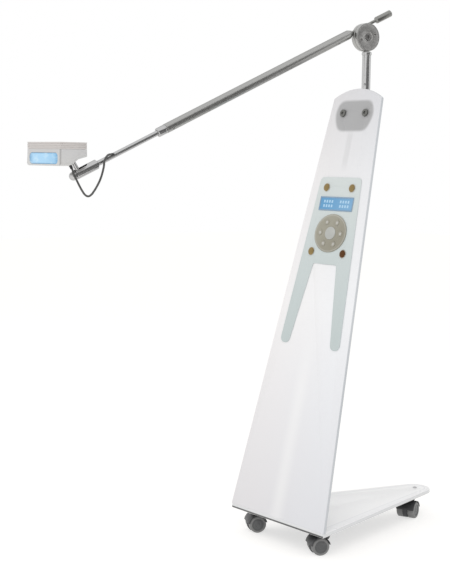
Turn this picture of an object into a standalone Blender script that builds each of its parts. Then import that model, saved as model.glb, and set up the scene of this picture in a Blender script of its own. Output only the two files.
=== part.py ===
"""Teeth whitening lamp: a leaning panel on three casters, a bent pole and a jointed arm with a light head.

Metres, +Z up. The lamp faces -Y. It is drawn with the panel's front foot edge on y = 0 and the
floor on z = 0, and then moved so that the middle of its box, seen from above, is on the origin.
"""

import math

import bmesh
import bpy
import numpy as np
from mathutils import Matrix, Vector

# Shared clearances and counts
SEAT = 0.0003  # gap between faces that touch
RUN = 0.0004  # gap round a piece that turns or slides
OVERRUN = 0.01  # how far a cutter runs past what it cuts
ROUND_SIDES = 22
SMALL_SIDES = 10
CORNER_STEPS = 4

# Base: a clear sheet over a steel plate
BASE_WIDTH = 0.397
TIP_Y = 0.577
TIP_RADIUS = 0.046
SHEET_THICKNESS = 0.012
SHEET_CORNER_RADIUS = 0.004
SHEET_EDGE = 0.0012
PLATE_THICKNESS = 0.006
PLATE_SIDE_INSET = 0.035
PLATE_FRONT_INSET = 0.020
PLATE_TIP_INSET = 0.016
PLATE_CORNER_RADIUS = 0.006
DECK_SCREW_HEAD_RADIUS = 0.0065
DECK_SCREW_HEAD_HEIGHT = 0.0022
DECK_SCREW_RADIUS = 0.0028

# Twin-wheel casters
CASTER_HEIGHT = 0.061
WHEEL_RADIUS = 0.025
WHEEL_WIDTH = 0.021
WHEEL_ROUNDING = 0.0042
WHEEL_DISH = 0.0016
WHEEL_HUB_RADIUS = 0.0178
AXLE_RADIUS = 0.003
AXLE_END_DEPTH = 0.013
WEB_THICKNESS = 0.014
WEB_RADIUS = 0.0205
HOOD_CLEARANCE = 0.0012
HOOD_WALL = 0.0022
HOOD_START_DEG = 8.0
HOOD_END_DEG = 168.0
CASTER_TRAIL = 0.022
SWIVEL_SEAT_RADIUS = 0.0135
SWIVEL_SEAT_HEIGHT = 0.020
STEM_RADIUS = 0.0045
FRONT_CASTER_INSET = 0.0635
FRONT_CASTER_Y = 0.070
REAR_CASTER_X = 0.015
REAR_CASTER_Y = 0.543
FRONT_TURN_DEG = 155.0
REAR_TURN_DEG = 202.0

# Leaning front panel; its own frame has x across, y up the slope and z out of its front face
PANEL_LEAN_DEG = 13.5
PANEL_LENGTH = 1.227
PANEL_TOP_WIDTH = 0.193
PANEL_TOP_RISE = 0.028
PANEL_THICKNESS = 0.010
PANEL_EDGE = 0.0012
PANEL_TOP_CORNER = 0.006

# Angle along the inside of the panel's foot
FOOT_BAR_LENGTH = 0.330
FOOT_BAR_LEG = 0.026
FOOT_BAR_THICKNESS = 0.003

# Pole
POLE_RADIUS = 0.0125
POLE_WALL = 0.002
POLE_BEHIND_FACE = 0.027
POLE_BEND_RADIUS = 0.090
POLE_BEND_ABOVE_PANEL = 0.022
POLE_BEND_STEPS = 5
COLLAR_RADIUS = 0.0142
COLLAR_HEIGHT = 0.008

# Clamp that holds the panel to the pole
CLAMP_BELOW_TOP = 0.0527
CLAMP_HALF_WIDTH = 0.079
CLAMP_TOP_HALF_WIDTH = 0.050
CLAMP_FOOT_HALF_WIDTH = 0.042
CLAMP_HALF_HEIGHT = 0.0438
CLAMP_WIDEST_ABOVE_MIDDLE = 0.0077
CLAMP_CORNER = 0.012
CLAMP_PLATE_THICKNESS = 0.0038
CLAMP_SADDLE_HALF_WIDTH = 0.019
CLAMP_SADDLE_HALF_HEIGHT = 0.034
CLAMP_SADDLE_WALL = 0.004
CLAMP_BOLT_U = 0.045
CLAMP_BOLT_HEAD_RADIUS = 0.0108
CLAMP_BOLT_HEAD_HEIGHT = 0.005
CLAMP_BOLT_RADIUS = 0.004
CLAMP_BOLT_SOCKET_RADIUS = 0.0046
CLAMP_BOLT_SOCKET_DEPTH = 0.003

# Control fascia: an arch with two legs that run beside the panel's slanting edges
FASCIA_THICKNESS = 0.0015
FASCIA_TOP_V = 0.992
FASCIA_BODY_HEIGHT = 0.255
FASCIA_LEG_LENGTH = 0.240
FASCIA_MARGIN = 0.033
FASCIA_ARCH_HALF_WIDTH = 0.048
FASCIA_LEG_TIP_WIDTH = 0.037
FASCIA_CORNER = 0.014
FASCIA_ARCH_CORNER = 0.006

# Brass studs that hold the fascia, the panel and the rear housing together
STUD_TOP_INSET = 0.0666
STUD_BELOW_TOP = 0.031
STUD_FOOT_INSET = 0.0694
STUD_ABOVE_ARCH = 0.034
STUD_WASHER_RADIUS = 0.0125
STUD_WASHER_HEIGHT = 0.0012
STUD_DOME_RADIUS = 0.0110
STUD_DOME_HEIGHT = 0.0034
STUD_SHANK_RADIUS = 0.0035
STUD_GRIP = 0.012

# Display
DISPLAY_BELOW_TOP = 0.0785
DISPLAY_WIDTH = 0.137
DISPLAY_HEIGHT = 0.041
DISPLAY_BEZEL = 0.0035
DISPLAY_BEZEL_PROUD = 0.0011
DISPLAY_GLASS_RECESS = 0.0008
DISPLAY_CORNER = 0.002

# Keypad: an oval plate with six round keys in a ring and one in the middle
KEYPAD_BELOW_TOP = 0.1645
KEYPAD_HALF_WIDTH = 0.0645
KEYPAD_HALF_HEIGHT = 0.0560
KEYPAD_PROUD = 0.0014
KEY_RING_HALF_WIDTH = 0.0415
KEY_RING_HALF_HEIGHT = 0.0358
KEY_RADIUS = 0.0078
KEY_PROUD = 0.0011
KEY_FLANGE = 0.0012
KEY_TRAVEL = 0.0010
CENTRE_KEY_HALF_WIDTH = 0.0205
CENTRE_KEY_HALF_HEIGHT = 0.0186
KEY_COUNT = 6
KEY_SIDES = 12

# Circuit board behind the panel
BOARD_THICKNESS = 0.0016
BOARD_HALF_WIDTH = 0.041
BOARD_BELOW_TOP = 0.020
BOARD_HEIGHT = 0.210
BOARD_CHIP_HEIGHT = 0.0015
BOARD_CHIP_SIZE = 0.014

# Rear housing
HOUSING_BELOW_TOP = 0.006
HOUSING_HEIGHT = 0.244
HOUSING_MARGIN = 0.0555
HOUSING_DEPTH = 0.043
HOUSING_WALL = 0.0025
HOUSING_CORNER = 0.006
HOUSING_POST_RADIUS = 0.0068

# Power supply in the housing
SUPPLY_WIDTH = 0.038
SUPPLY_HEIGHT = 0.120
SUPPLY_ABOVE_FOOT = 0.076
SUPPLY_BASE = 0.002
SUPPLY_BLOCK_HEIGHT = 0.040
SUPPLY_BLOCK_DEPTH = 0.022
SUPPLY_BLOCK_MARGIN = 0.004
SUPPLY_CAN_RADIUS = 0.0075
SUPPLY_FROM_POLE = 0.0035

# Mains inlet and rocker switch in the housing's lower wall
INLET_WIDTH = 0.027
INLET_DEPTH = 0.020
INLET_HEIGHT = 0.018
INLET_FLANGE = 0.0022
INLET_FLANGE_THICKNESS = 0.002
INLET_RECESS_WALL = 0.0025
INLET_RECESS_DEPTH = 0.014
INLET_PIN_LENGTH = 0.007
INLET_PIN_THICKNESS = 0.0016
INLET_PIN_WIDTH = 0.0034
INLET_PIN_PITCH = 0.007
INLET_U = 0.046
SWITCH_U = 0.046
SWITCH_WIDTH = 0.019
SWITCH_DEPTH = 0.013
SWITCH_BODY_HEIGHT = 0.010
SWITCH_PROUD = 0.0034
SWITCH_ROCK_DEG = 6.0

# Friction joint on top of the pole
JOINT_Z = 1.447
DISC_RADIUS = 0.040
POLE_DISC_THICKNESS = 0.012
ARM_DISC_THICKNESS = 0.014
DISC_EDGE = 0.0012
DISC_SIDES = 32
WASHER_THICKNESS = 0.0012
WASHER_RADIUS = 0.030
PIVOT_RADIUS = 0.006
PIVOT_HEAD_RADIUS = 0.0105
PIVOT_HEAD_HEIGHT = 0.0045
PIVOT_SOCKET_RADIUS = 0.0048
PIVOT_SOCKET_DEPTH = 0.003
PIVOT_RECESS = 0.0055
PIVOT_NUT_RADIUS = 0.013
PIVOT_NUT_THICKNESS = 0.006
PIN_HOLE_RADIUS = 0.0030
PIN_HOLE_DEPTH = 0.004
PIN_HOLE_FROM_CENTRE = 0.025
PIN_HOLE_TURN_DEG = 20.0
SPIGOT_LENGTH = 0.030
SHOULDER_RADIUS = 0.0112
SHOULDER_HEIGHT = 0.003
SHOULDER_INTO_DISC = 0.012

# Arm; its own frame has x across, y up square to the arm and z along it to the light head
ARM_TURN_DEG = -10.0
ARM_DROOP_DEG = 25.75
ARM_LIFT = 0.0285
ARM_TUBE_START = 0.048
ARM_TUBE_LENGTH = 0.646
ARM_TUBE_RADIUS = 0.0132
ARM_TUBE_WALL = 0.0016
ARM_CONE_RADIUS = 0.0072
ARM_CONE_LENGTH = 0.013
ARM_PLUG_LENGTH = 0.022
HANDLE_START = 0.055
HANDLE_LENGTH = 0.0584
HANDLE_RADIUS = 0.0097
HANDLE_NECK_RADIUS = 0.0046
HANDLE_CHAMFER = 0.0045
COLLAR_START_RADIUS = 0.0128
COLLAR_END_RADIUS = 0.0106
COLLAR_LENGTH = 0.027
COLLAR_SPIGOT = 0.020
ROD_RADIUS = 0.0072
ROD_BORE_RADIUS = 0.0045
ROD_REACH = 0.2193
ROD_INSIDE_TUBE = 0.270
ROD_GUIDE_LENGTH = 0.020
KNUCKLE_LENGTH = 0.0668
KNUCKLE_RADIUS = 0.0130
KNUCKLE_STEP_RADIUS = 0.0098
KNUCKLE_SOCKET_DEPTH = 0.012
KNUCKLE_CHAMFER = 0.0010
KNUCKLE_WALL = 0.0035
SLOT_LENGTH = 0.0395
CAP_RADIUS = 0.0112
CAP_LENGTH = 0.0185

# Ball stud under the light head
BALL_FROM_KNUCKLE_END = 0.0100
BALL_CLEARANCE = 0.0004
BALL_STUD_RADIUS = 0.0061
BALL_STUD_LEAN_DEG = 34.0
TONGUE_START = 0.0360
TONGUE_THICKNESS = 0.0030
TONGUE_ROOT_RADIUS = 0.0085
TONGUE_TIP_RADIUS = 0.0050
GLAND_FORWARD = 0.0145
GLAND_SIDE = 0.0030
GLAND_RADIUS = 0.0042
GLAND_LENGTH = 0.0114
STUD_FLANGE_RADIUS = 0.0090
STUD_FLANGE_THICKNESS = 0.0025
PAD_RADIUS = 0.0108
PAD_LENGTH = 0.0130

# Light head; its own frame is level, from the ball's centre: x across, y to its back, z up
HEAD_TURN_DEG = 5.0
HEAD_FRONT_WIDTH = 0.144
HEAD_BACK_WIDTH = 0.094
HEAD_DEPTH = 0.1043
HEAD_BACK_FROM_BALL = 0.0087
HEAD_FLOOR_ABOVE_BALL = 0.0190
HEAD_CASE_HEIGHT = 0.0424
HEAD_COVER_HEIGHT = 0.0176
HEAD_KNEE_FROM_FRONT = 0.0378
HEAD_RAMP_RUN = 0.0311
HEAD_RAMP_RISE = 0.0174
HEAD_TAIL_RISE = 0.0068
HEAD_CORNER = 0.004
HEAD_FOOT_ROUNDING = 0.010
HEAD_WALL = 0.0025
HEAD_EDGE = 0.0010
COVER_LIP = 0.004
COVER_GROOVE = 0.0008
COVER_GROOVES = 3
WINDOW_HALF_WIDTH = 0.0600
WINDOW_HEIGHT = 0.0284
WINDOW_ABOVE_FLOOR = 0.0046
WINDOW_CORNER = 0.0095
WINDOW_THICKNESS = 0.004
LED_BOARD_BEHIND_WINDOW = 0.006
LED_BOARD_THICKNESS = 0.0016
LED_BOARD_HEIGHT = 0.028
LED_BOARD_WIDTH = 0.112
LED_COUNT = 5
LED_SIZE = 0.007
LED_HEIGHT = 0.0025
SINK_FINS = 5
SINK_FIN_THICKNESS = 0.002
SINK_WIDTH = 0.050
SINK_DEPTH = 0.018
SINK_BASE = 0.003

# Cable between the rod and the light head
CABLE_DIAMETER = 0.0056
CABLE_SAMPLES = 22
CABLE_EXIT_BEFORE_KNUCKLE = 0.0548
CABLE_EXIT_TURN_DEG = -53.0
CABLE_EXIT_LEAN_DEG = 45.0
CABLE_END_ROOM = 0.0022  # lets the gland swing as the head tilts up
GROMMET_RADIUS = 0.0042
GROMMET_REACH = 0.0152

# Sizes that follow from the ones above
PLATE_TOP = CASTER_HEIGHT + PLATE_THICKNESS
SHEET_FLOOR = PLATE_TOP + SEAT
DECK_TOP = SHEET_FLOOR + SHEET_THICKNESS
FRONT_CASTER_X = BASE_WIDTH / 2 - FRONT_CASTER_INSET
PANEL_BACK = -PANEL_THICKNESS - SEAT
FASCIA_FACE = SEAT + FASCIA_THICKNESS
FASCIA_ARCH_V = FASCIA_TOP_V - FASCIA_BODY_HEIGHT
KEYPAD_V = FASCIA_TOP_V - KEYPAD_BELOW_TOP
DISPLAY_V = FASCIA_TOP_V - DISPLAY_BELOW_TOP
CLAMP_V = PANEL_LENGTH - CLAMP_BELOW_TOP
HOUSING_TOP_V = FASCIA_TOP_V - HOUSING_BELOW_TOP
HOUSING_FOOT_V = HOUSING_TOP_V - HOUSING_HEIGHT
HOUSING_BACK = PANEL_BACK - HOUSING_DEPTH
LOWER_WALL_W = (PANEL_BACK + HOUSING_BACK) / 2
POLE_BORE_RADIUS = POLE_RADIUS - POLE_WALL
POLE_TOP_Z = JOINT_Z - DISC_RADIUS - SHOULDER_HEIGHT
ARM_DISC_X = -POLE_DISC_THICKNESS / 2 - WASHER_THICKNESS - 2 * SEAT - ARM_DISC_THICKNESS / 2
ARM_BORE_RADIUS = ARM_TUBE_RADIUS - ARM_TUBE_WALL
ARM_TUBE_END = ARM_TUBE_START + ARM_TUBE_LENGTH
KNUCKLE_START = ARM_TUBE_END + ROD_REACH
KNUCKLE_END = KNUCKLE_START + KNUCKLE_LENGTH
KNUCKLE_BORE_RADIUS = KNUCKLE_RADIUS - KNUCKLE_WALL
BALL_RADIUS = KNUCKLE_BORE_RADIUS - BALL_CLEARANCE
BALL_S = KNUCKLE_END - BALL_FROM_KNUCKLE_END
TONGUE_END = TONGUE_START + TONGUE_THICKNESS
HEAD_BACK_Y = -HEAD_BACK_FROM_BALL
HEAD_FRONT_Y = HEAD_BACK_Y - HEAD_DEPTH
HEAD_SPLIT_Z = HEAD_FLOOR_ABOVE_BALL + HEAD_CASE_HEIGHT
HEAD_TOP_Z = HEAD_SPLIT_Z + HEAD_COVER_HEIGHT
WINDOW_MIDDLE_Z = HEAD_FLOOR_ABOVE_BALL + WINDOW_ABOVE_FLOOR + WINDOW_HEIGHT / 2
WINDOW_FACE = -HEAD_FRONT_Y - HEAD_WALL / 4


def clear_scene():
    for obj in list(bpy.data.objects):
        bpy.data.objects.remove(obj, do_unlink=True)


def material(name, colour, roughness, metallic=0.0, alpha=1.0, glow=0.0):
    made = bpy.data.materials.new(name)
    made.use_nodes = True
    shader = made.node_tree.nodes["Principled BSDF"]
    shader.inputs["Base Color"].default_value = (*colour, 1.0)
    shader.inputs["Roughness"].default_value = roughness
    shader.inputs["Metallic"].default_value = metallic
    shader.inputs["Alpha"].default_value = alpha
    if glow:
        shader.inputs["Emission Color"].default_value = (*colour, 1.0)
        shader.inputs["Emission Strength"].default_value = glow
    made.diffuse_color = (*colour, alpha)
    return made


def make_materials():
    return {
        "acrylic": material("acrylic", (0.84, 0.84, 0.86), 0.25, alpha=0.92),
        "steel_plate": material("steel_plate", (0.09, 0.09, 0.10), 0.5, 0.6),
        "chrome": material("chrome", (0.80, 0.80, 0.82), 0.12, 1.0),
        "aluminium": material("aluminium", (0.42, 0.42, 0.42), 0.38, 1.0),
        "zinc": material("zinc", (0.55, 0.55, 0.56), 0.35, 0.9),
        "caster_plastic": material("caster_plastic", (0.10, 0.10, 0.11), 0.45),
        "caster_tread": material("caster_tread", (0.22, 0.23, 0.24), 0.6),
        "clamp_grey": material("clamp_grey", (0.36, 0.36, 0.38), 0.5),
        "fascia": material("fascia", (0.60, 0.64, 0.62), 0.45),
        "brass": material("brass", (0.70, 0.52, 0.25), 0.3, 1.0),
        "screen": material("screen", (0.10, 0.35, 0.85), 0.2, glow=0.8),
        "keypad": material("keypad", (0.55, 0.50, 0.43), 0.5),
        "key": material("key", (0.60, 0.59, 0.57), 0.45),
        "circuit": material("circuit", (0.05, 0.22, 0.10), 0.5),
        "housing": material("housing", (0.80, 0.80, 0.81), 0.45),
        "black_plastic": material("black_plastic", (0.03, 0.03, 0.03), 0.4),
        "pearl": material("pearl", (0.68, 0.67, 0.66), 0.35),
        "cover": material("cover", (0.45, 0.43, 0.41), 0.4, 0.5),
        "blue_light": material("blue_light", (0.15, 0.50, 0.95), 0.2, glow=2.0),
        "fibre": material("fibre", (0.16, 0.13, 0.10), 0.8),
        "cable": material("cable", (0.03, 0.03, 0.035), 0.45),
    }


# Outlines

def arc(centre, radius, start_deg, end_deg, count):
    """Points of an arc from one angle to the other, both ends included."""
    angles = np.radians(np.linspace(start_deg, end_deg, count))
    return [(centre[0] + radius * math.cos(a), centre[1] + radius * math.sin(a)) for a in angles]


def oval(half_width, half_height, count, centre=(0.0, 0.0)):
    angles = np.linspace(0.0, 2 * math.pi, count, endpoint=False)
    x, y = centre
    return [(x + half_width * math.cos(a), y + half_height * math.sin(a)) for a in angles]


def rectangle(width, height, centre=(0.0, 0.0)):
    x, y = width / 2, height / 2
    signs = ((-1, -1), (1, -1), (1, 1), (-1, 1))
    return [(centre[0] + i * x, centre[1] + j * y) for i, j in signs]


def rounded(points, radii, steps=CORNER_STEPS):
    """The polygon with each corner an arc of its own radius; one number serves them all."""
    if not isinstance(radii, (list, tuple)):
        radii = [radii] * len(points)
    outline = []
    for i, radius in enumerate(radii):
        corner = Vector(points[i])
        if radius <= 0.0:
            outline.append(tuple(corner))
            continue
        before = (Vector(points[i - 1]) - corner).normalized()
        after = (Vector(points[(i + 1) % len(points)]) - corner).normalized()
        half = before.angle(after) / 2
        reach = radius / math.tan(half)
        centre = corner + (before + after).normalized() * (radius / math.sin(half))
        start = corner + before * reach - centre
        sweep = start.angle_signed(corner + after * reach - centre)
        for step in range(steps + 1):
            outline.append(tuple(centre + Matrix.Rotation(-sweep * step / steps, 2) @ start))
    return outline


# Shapes

def prism(outline, low, high, edge=0.0):
    """A straight solid over an outline in the XY plane, with both rims chamfered by edge."""
    bm = bmesh.new()
    floor = bm.faces.new([bm.verts.new((x, y, low)) for x, y in outline])
    raised = bmesh.ops.extrude_face_region(bm, geom=[floor])["geom"]
    top = [v for v in raised if isinstance(v, bmesh.types.BMVert)]
    bmesh.ops.translate(bm, verts=top, vec=(0, 0, high - low))
    bmesh.ops.recalc_face_normals(bm, faces=bm.faces)
    if edge:
        rims = [e for e in bm.edges if abs(e.verts[0].co.z - e.verts[1].co.z) < edge / 2]
        bmesh.ops.bevel(bm, geom=rims, offset=edge, segments=1, affect="EDGES")
    return bm


def block(low, high):
    """A box from its lowest corner to its highest."""
    size = [b - a for a, b in zip(low, high)]
    middle = [(a + b) / 2 for a, b in zip(low, high)]
    bm = bmesh.new()
    place = Matrix.Translation(middle) @ Matrix.Diagonal((*size, 1))
    bmesh.ops.create_cube(bm, size=1, matrix=place)
    return bm


def turned(profile, sides=ROUND_SIDES, matrix=None):
    """A solid turned about Z from (radius, height) points; one that starts off the axis is a closed loop."""
    bm = bmesh.new()
    angles = np.linspace(0, 2 * math.pi, sides, endpoint=False)
    rings = []
    for radius, height in profile:
        if radius > 0.0:
            rings.append([bm.verts.new((radius * math.cos(a), radius * math.sin(a), height)) for a in angles])
        else:
            rings.append([bm.verts.new((0.0, 0.0, height))])
    pairs = list(zip(rings, rings[1:]))
    if len(rings[0]) > 1:
        pairs.append((rings[-1], rings[0]))
    for first, second in pairs:
        if len(first) + len(second) == 2:
            continue
        for i in range(sides):
            j = (i + 1) % sides
            corners = [first[i % len(first)], first[j % len(first)]]
            corners += [second[j % len(second)], second[i % len(second)]]
            bm.faces.new(list(dict.fromkeys(corners)))
    bmesh.ops.recalc_face_normals(bm, faces=bm.faces)
    return moved(bm, matrix) if matrix is not None else bm


def pin(radius, start, end, sides=ROUND_SIDES, matrix=None):
    return turned([(0.0, start), (radius, start), (radius, end), (0.0, end)], sides, matrix)


def moved(bm, matrix):
    bmesh.ops.transform(bm, matrix=matrix, verts=bm.verts)
    if matrix.determinant() < 0:
        bmesh.ops.reverse_faces(bm, faces=bm.faces)
    return bm


def swept_bar(centres, radius, sides=ROUND_SIDES):
    """A round bar along points in the YZ plane, its first end cut level."""
    bm = bmesh.new()
    rings = []
    count = len(centres)
    for i, centre in enumerate(centres):
        ahead = Vector(centres[min(i + 1, count - 1)]) - Vector(centres[max(i - 1, 0)])
        normal = Vector((0.0, -ahead.z, ahead.y)).normalized()
        ring = []
        for a in np.linspace(0, 2 * math.pi, sides, endpoint=False):
            offset = Vector((radius * math.cos(a), 0, 0)) + normal * (radius * math.sin(a))
            if i == 0:
                offset -= ahead * (offset.z / ahead.z)
            ring.append(bm.verts.new(Vector(centre) + offset))
        rings.append(ring)
    for first, second in zip(rings, rings[1:]):
        for i in range(sides):
            j = (i + 1) % sides
            bm.faces.new((first[i], first[j], second[j], second[i]))
    bm.faces.new(rings[0])
    bm.faces.new(rings[-1])
    bmesh.ops.recalc_face_normals(bm, faces=bm.faces)
    return bm


def turn_x(degrees):
    return Matrix.Rotation(math.radians(degrees), 4, "X")


def turn_y(degrees):
    return Matrix.Rotation(math.radians(degrees), 4, "Y")


def turn_z(degrees):
    return Matrix.Rotation(math.radians(degrees), 4, "Z")


def shift(x=0.0, y=0.0, z=0.0):
    return Matrix.Translation((x, y, z))


# Objects

def frame(name, parent=None, matrix=None):
    """An empty that places pieces; a moving one stands on its joint's axis."""
    empty = bpy.data.objects.new(name, None)
    empty.empty_display_size = WHEEL_RADIUS
    bpy.context.scene.collection.objects.link(empty)
    empty.parent = parent
    if matrix is not None:
        empty.matrix_basis = matrix
    return empty


def node(name, bm, finish, parent, matrix=None, smooth=True):
    mesh = bpy.data.meshes.new(name)
    bm.to_mesh(mesh)
    bm.free()
    if finish is not None:
        mesh.materials.append(finish)
    if smooth:
        mesh.shade_smooth()
        mesh.set_sharp_from_angle(angle=math.radians(32))
    obj = bpy.data.objects.new(name, mesh)
    bpy.context.scene.collection.objects.link(obj)
    obj.parent = parent
    if matrix is not None:
        obj.matrix_basis = matrix
    return obj


def helper(name, bm, parent):
    """A shape that only cuts or joins: it isn't rendered."""
    obj = node(name, bm, None, parent, smooth=False)
    obj.hide_render = True
    obj.display_type = "WIRE"
    return obj


def combine(target, other, operation):
    modifier = target.modifiers.new(other.name, "BOOLEAN")
    modifier.operation = operation
    modifier.solver = "EXACT"
    modifier.object = other
    return target


def cut(target, bm):
    """Takes a shape, given in the target's own frame, out of the target."""
    return combine(target, helper(f"{target.name}_cut_{len(target.modifiers)}", bm, target), "DIFFERENCE")


def add(target, bm):
    """Joins a shape, given in the target's own frame, to the target."""
    return combine(target, helper(f"{target.name}_add_{len(target.modifiers)}", bm, target), "UNION")


# Base

def tip_outline(half_width, front_y, tip_y, tip_radius, corner):
    """A long triangle whose rear end is an arc, with its two front corners rounded."""
    reach = math.hypot(half_width, tip_y - front_y)
    side_angle = math.degrees(math.atan2(half_width, tip_y - front_y))
    start = side_angle - math.degrees(math.asin(tip_radius / reach))
    rear = arc((0.0, tip_y), tip_radius, start, 180.0 - start, 12)
    points = [rear[-1], (-half_width, front_y), (half_width, front_y), rear[0]]
    return rounded(points, [0.0, corner, corner, 0.0])[1:-1] + rear


def make_base(finishes, lamp):
    half = BASE_WIDTH / 2
    outline = tip_outline(half, 0.0, TIP_Y, TIP_RADIUS, SHEET_CORNER_RADIUS)
    sheet = node("base_sheet", prism(outline, SHEET_FLOOR, DECK_TOP, SHEET_EDGE), finishes["acrylic"], lamp)
    inner = tip_outline(
        half - PLATE_SIDE_INSET, PLATE_FRONT_INSET, TIP_Y, TIP_RADIUS - PLATE_TIP_INSET, PLATE_CORNER_RADIUS
    )
    plate = node("base_plate", prism(inner, CASTER_HEIGHT, PLATE_TOP), finishes["steel_plate"], lamp)
    for _, x, y, _ in caster_places():
        cut(plate, pin(STEM_RADIUS + RUN, 0.0, DECK_TOP, SMALL_SIDES, shift(x, y)))
    for target in (sheet, plate):
        cut(target, pin(DECK_SCREW_RADIUS + SEAT, 0.0, DECK_TOP + OVERRUN, SMALL_SIDES, shift(0.0, TIP_Y)))
    cut(sheet, swept_bar(pole_stub(), POLE_RADIUS + RUN))
    head_floor = DECK_TOP + SEAT
    screw = [
        (0.0, CASTER_HEIGHT + SEAT),
        (DECK_SCREW_RADIUS, CASTER_HEIGHT + SEAT),
        (DECK_SCREW_RADIUS, head_floor),
        (DECK_SCREW_HEAD_RADIUS, head_floor),
        (DECK_SCREW_HEAD_RADIUS * 0.8, head_floor + DECK_SCREW_HEAD_HEIGHT),
        (0.0, head_floor + DECK_SCREW_HEAD_HEIGHT),
    ]
    node("deck_screw", turned(screw, SMALL_SIDES), finishes["zinc"], lamp, shift(0.0, TIP_Y))


# Casters

def caster_places():
    return (
        ("caster_front_right", FRONT_CASTER_X, FRONT_CASTER_Y, FRONT_TURN_DEG),
        ("caster_front_left", -FRONT_CASTER_X, FRONT_CASTER_Y, FRONT_TURN_DEG),
        ("caster_rear", REAR_CASTER_X, REAR_CASTER_Y, REAR_TURN_DEG),
    )


def wheel_profile():
    """Wheel turned about its axle: flat inner face at 0, closed and dished outer face at its width."""
    bore = AXLE_RADIUS + SEAT
    face = WHEEL_WIDTH
    soft = WHEEL_ROUNDING * 0.3
    return [
        (bore, 0.0),
        (WHEEL_RADIUS, 0.0),
        (WHEEL_RADIUS, face - WHEEL_ROUNDING),
        (WHEEL_RADIUS - soft, face - soft),
        (WHEEL_RADIUS - WHEEL_ROUNDING, face),
        (WHEEL_HUB_RADIUS, face),
        (WHEEL_HUB_RADIUS - WHEEL_DISH, face - WHEEL_DISH),
        (0.0, face - WHEEL_DISH / 2),
        (0.0, AXLE_END_DEPTH + SEAT),
        (bore, AXLE_END_DEPTH + SEAT),
    ]


def make_hood(label, finishes, swivel, axle_place):
    """Caster body: an arched cover over both wheels, the web between them, the swivel seat and the stem."""
    inner = WHEEL_RADIUS + HOOD_CLEARANCE
    half_width = WEB_THICKNESS / 2 + RUN + WHEEL_WIDTH
    cover = arc((0.0, 0.0), inner + HOOD_WALL, HOOD_START_DEG, HOOD_END_DEG, 12)
    cover += arc((0.0, 0.0), inner, HOOD_END_DEG, HOOD_START_DEG, 12)
    # The cover's outline is drawn in XY and stood up so that its width lies along the axle
    stand = axle_place @ turn_z(90) @ turn_x(90)
    hood = node(
        f"{label}_hood",
        moved(prism(cover, -half_width, half_width), stand),
        finishes["caster_plastic"],
        swivel,
    )
    web_half = WEB_THICKNESS / 2
    add(hood, pin(inner + HOOD_WALL / 2, -web_half, web_half, ROUND_SIDES, axle_place @ turn_y(90)))
    below = WHEEL_RADIUS - WEB_RADIUS
    far = CASTER_TRAIL + 2 * WHEEL_RADIUS
    wide = half_width + OVERRUN
    cut(hood, block((-wide, -far, -WHEEL_RADIUS), (wide, far, below)))
    seat_top = CASTER_HEIGHT - SEAT
    stem_top = PLATE_TOP - SEAT
    seat = [
        (0.0, seat_top - SWIVEL_SEAT_HEIGHT),
        (SWIVEL_SEAT_RADIUS * 0.7, seat_top - SWIVEL_SEAT_HEIGHT),
        (SWIVEL_SEAT_RADIUS, seat_top - SWIVEL_SEAT_HEIGHT / 2),
        (SWIVEL_SEAT_RADIUS, seat_top),
        (STEM_RADIUS, seat_top),
        (STEM_RADIUS, stem_top),
        (0.0, stem_top),
    ]
    add(hood, turned(seat, SMALL_SIDES))
    for side in (1, -1):
        along = axle_place @ turn_y(90 * side)
        cut(hood, pin(WHEEL_RADIUS + HOOD_CLEARANCE / 2, web_half + RUN / 2, wide, ROUND_SIDES, along))
    cut(hood, pin(AXLE_RADIUS + SEAT, -half_width, half_width, SMALL_SIDES, axle_place @ turn_y(90)))


def make_casters(finishes, lamp):
    axle_place = shift(0.0, CASTER_TRAIL, WHEEL_RADIUS)
    inner_face = WEB_THICKNESS / 2 + RUN
    reach = inner_face + AXLE_END_DEPTH
    for label, x, y, turn_deg in caster_places():
        swivel = frame(f"{label}_swivel_axis", lamp, shift(x, y) @ turn_z(turn_deg))
        make_hood(label, finishes, swivel, axle_place)
        axle = frame(f"{label}_axle_axis", swivel, axle_place)
        shaft = pin(AXLE_RADIUS, -reach, reach, SMALL_SIDES, turn_y(90))
        node(f"{label}_axle", shaft, finishes["zinc"], axle)
        for name, side in (("right", 1), ("left", -1)):
            place = shift(side * inner_face) @ turn_y(90 * side)
            node(f"{label}_wheel_{name}", turned(wheel_profile()), finishes["caster_tread"], axle, place)


# Panel

def panel_half_width(v):
    """Half the panel's width at a height up its slope."""
    return BASE_WIDTH / 2 + (PANEL_TOP_WIDTH - BASE_WIDTH) / 2 * v / PANEL_LENGTH


def panel_matrix():
    return shift(0.0, 0.0, DECK_TOP) @ turn_x(90 - PANEL_LEAN_DEG)


def panel_outline():
    """The panel from a little below the deck to its arched top."""
    below = -2 * PANEL_THICKNESS
    half_top = PANEL_TOP_WIDTH / 2
    radius = (half_top**2 + PANEL_TOP_RISE**2) / (2 * PANEL_TOP_RISE)
    spread = math.degrees(math.asin(half_top / radius))
    top = arc((0.0, PANEL_LENGTH + PANEL_TOP_RISE - radius), radius, 90 - spread, 90 + spread, 14)
    shape = [(-panel_half_width(below), below), (panel_half_width(below), below)] + top
    radii = [0.0, 0.0, PANEL_TOP_CORNER] + [0.0] * (len(top) - 2) + [PANEL_TOP_CORNER]
    return rounded(shape, radii)


def trim_level(bm, height):
    """Cuts a shape in the panel's frame off level, at a height above the floor."""
    place = panel_matrix()
    up = place.to_3x3().transposed() @ Vector((0, 0, 1))
    point = place.inverted() @ Vector((0, 0, height))
    geometry = bm.verts[:] + bm.edges[:] + bm.faces[:]
    bmesh.ops.bisect_plane(bm, geom=geometry, plane_co=point, plane_no=up, clear_inner=True)
    rim = [e for e in bm.edges if e.is_boundary]
    bmesh.ops.contextual_create(bm, geom=rim)
    bmesh.ops.recalc_face_normals(bm, faces=bm.faces)
    return bm


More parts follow.
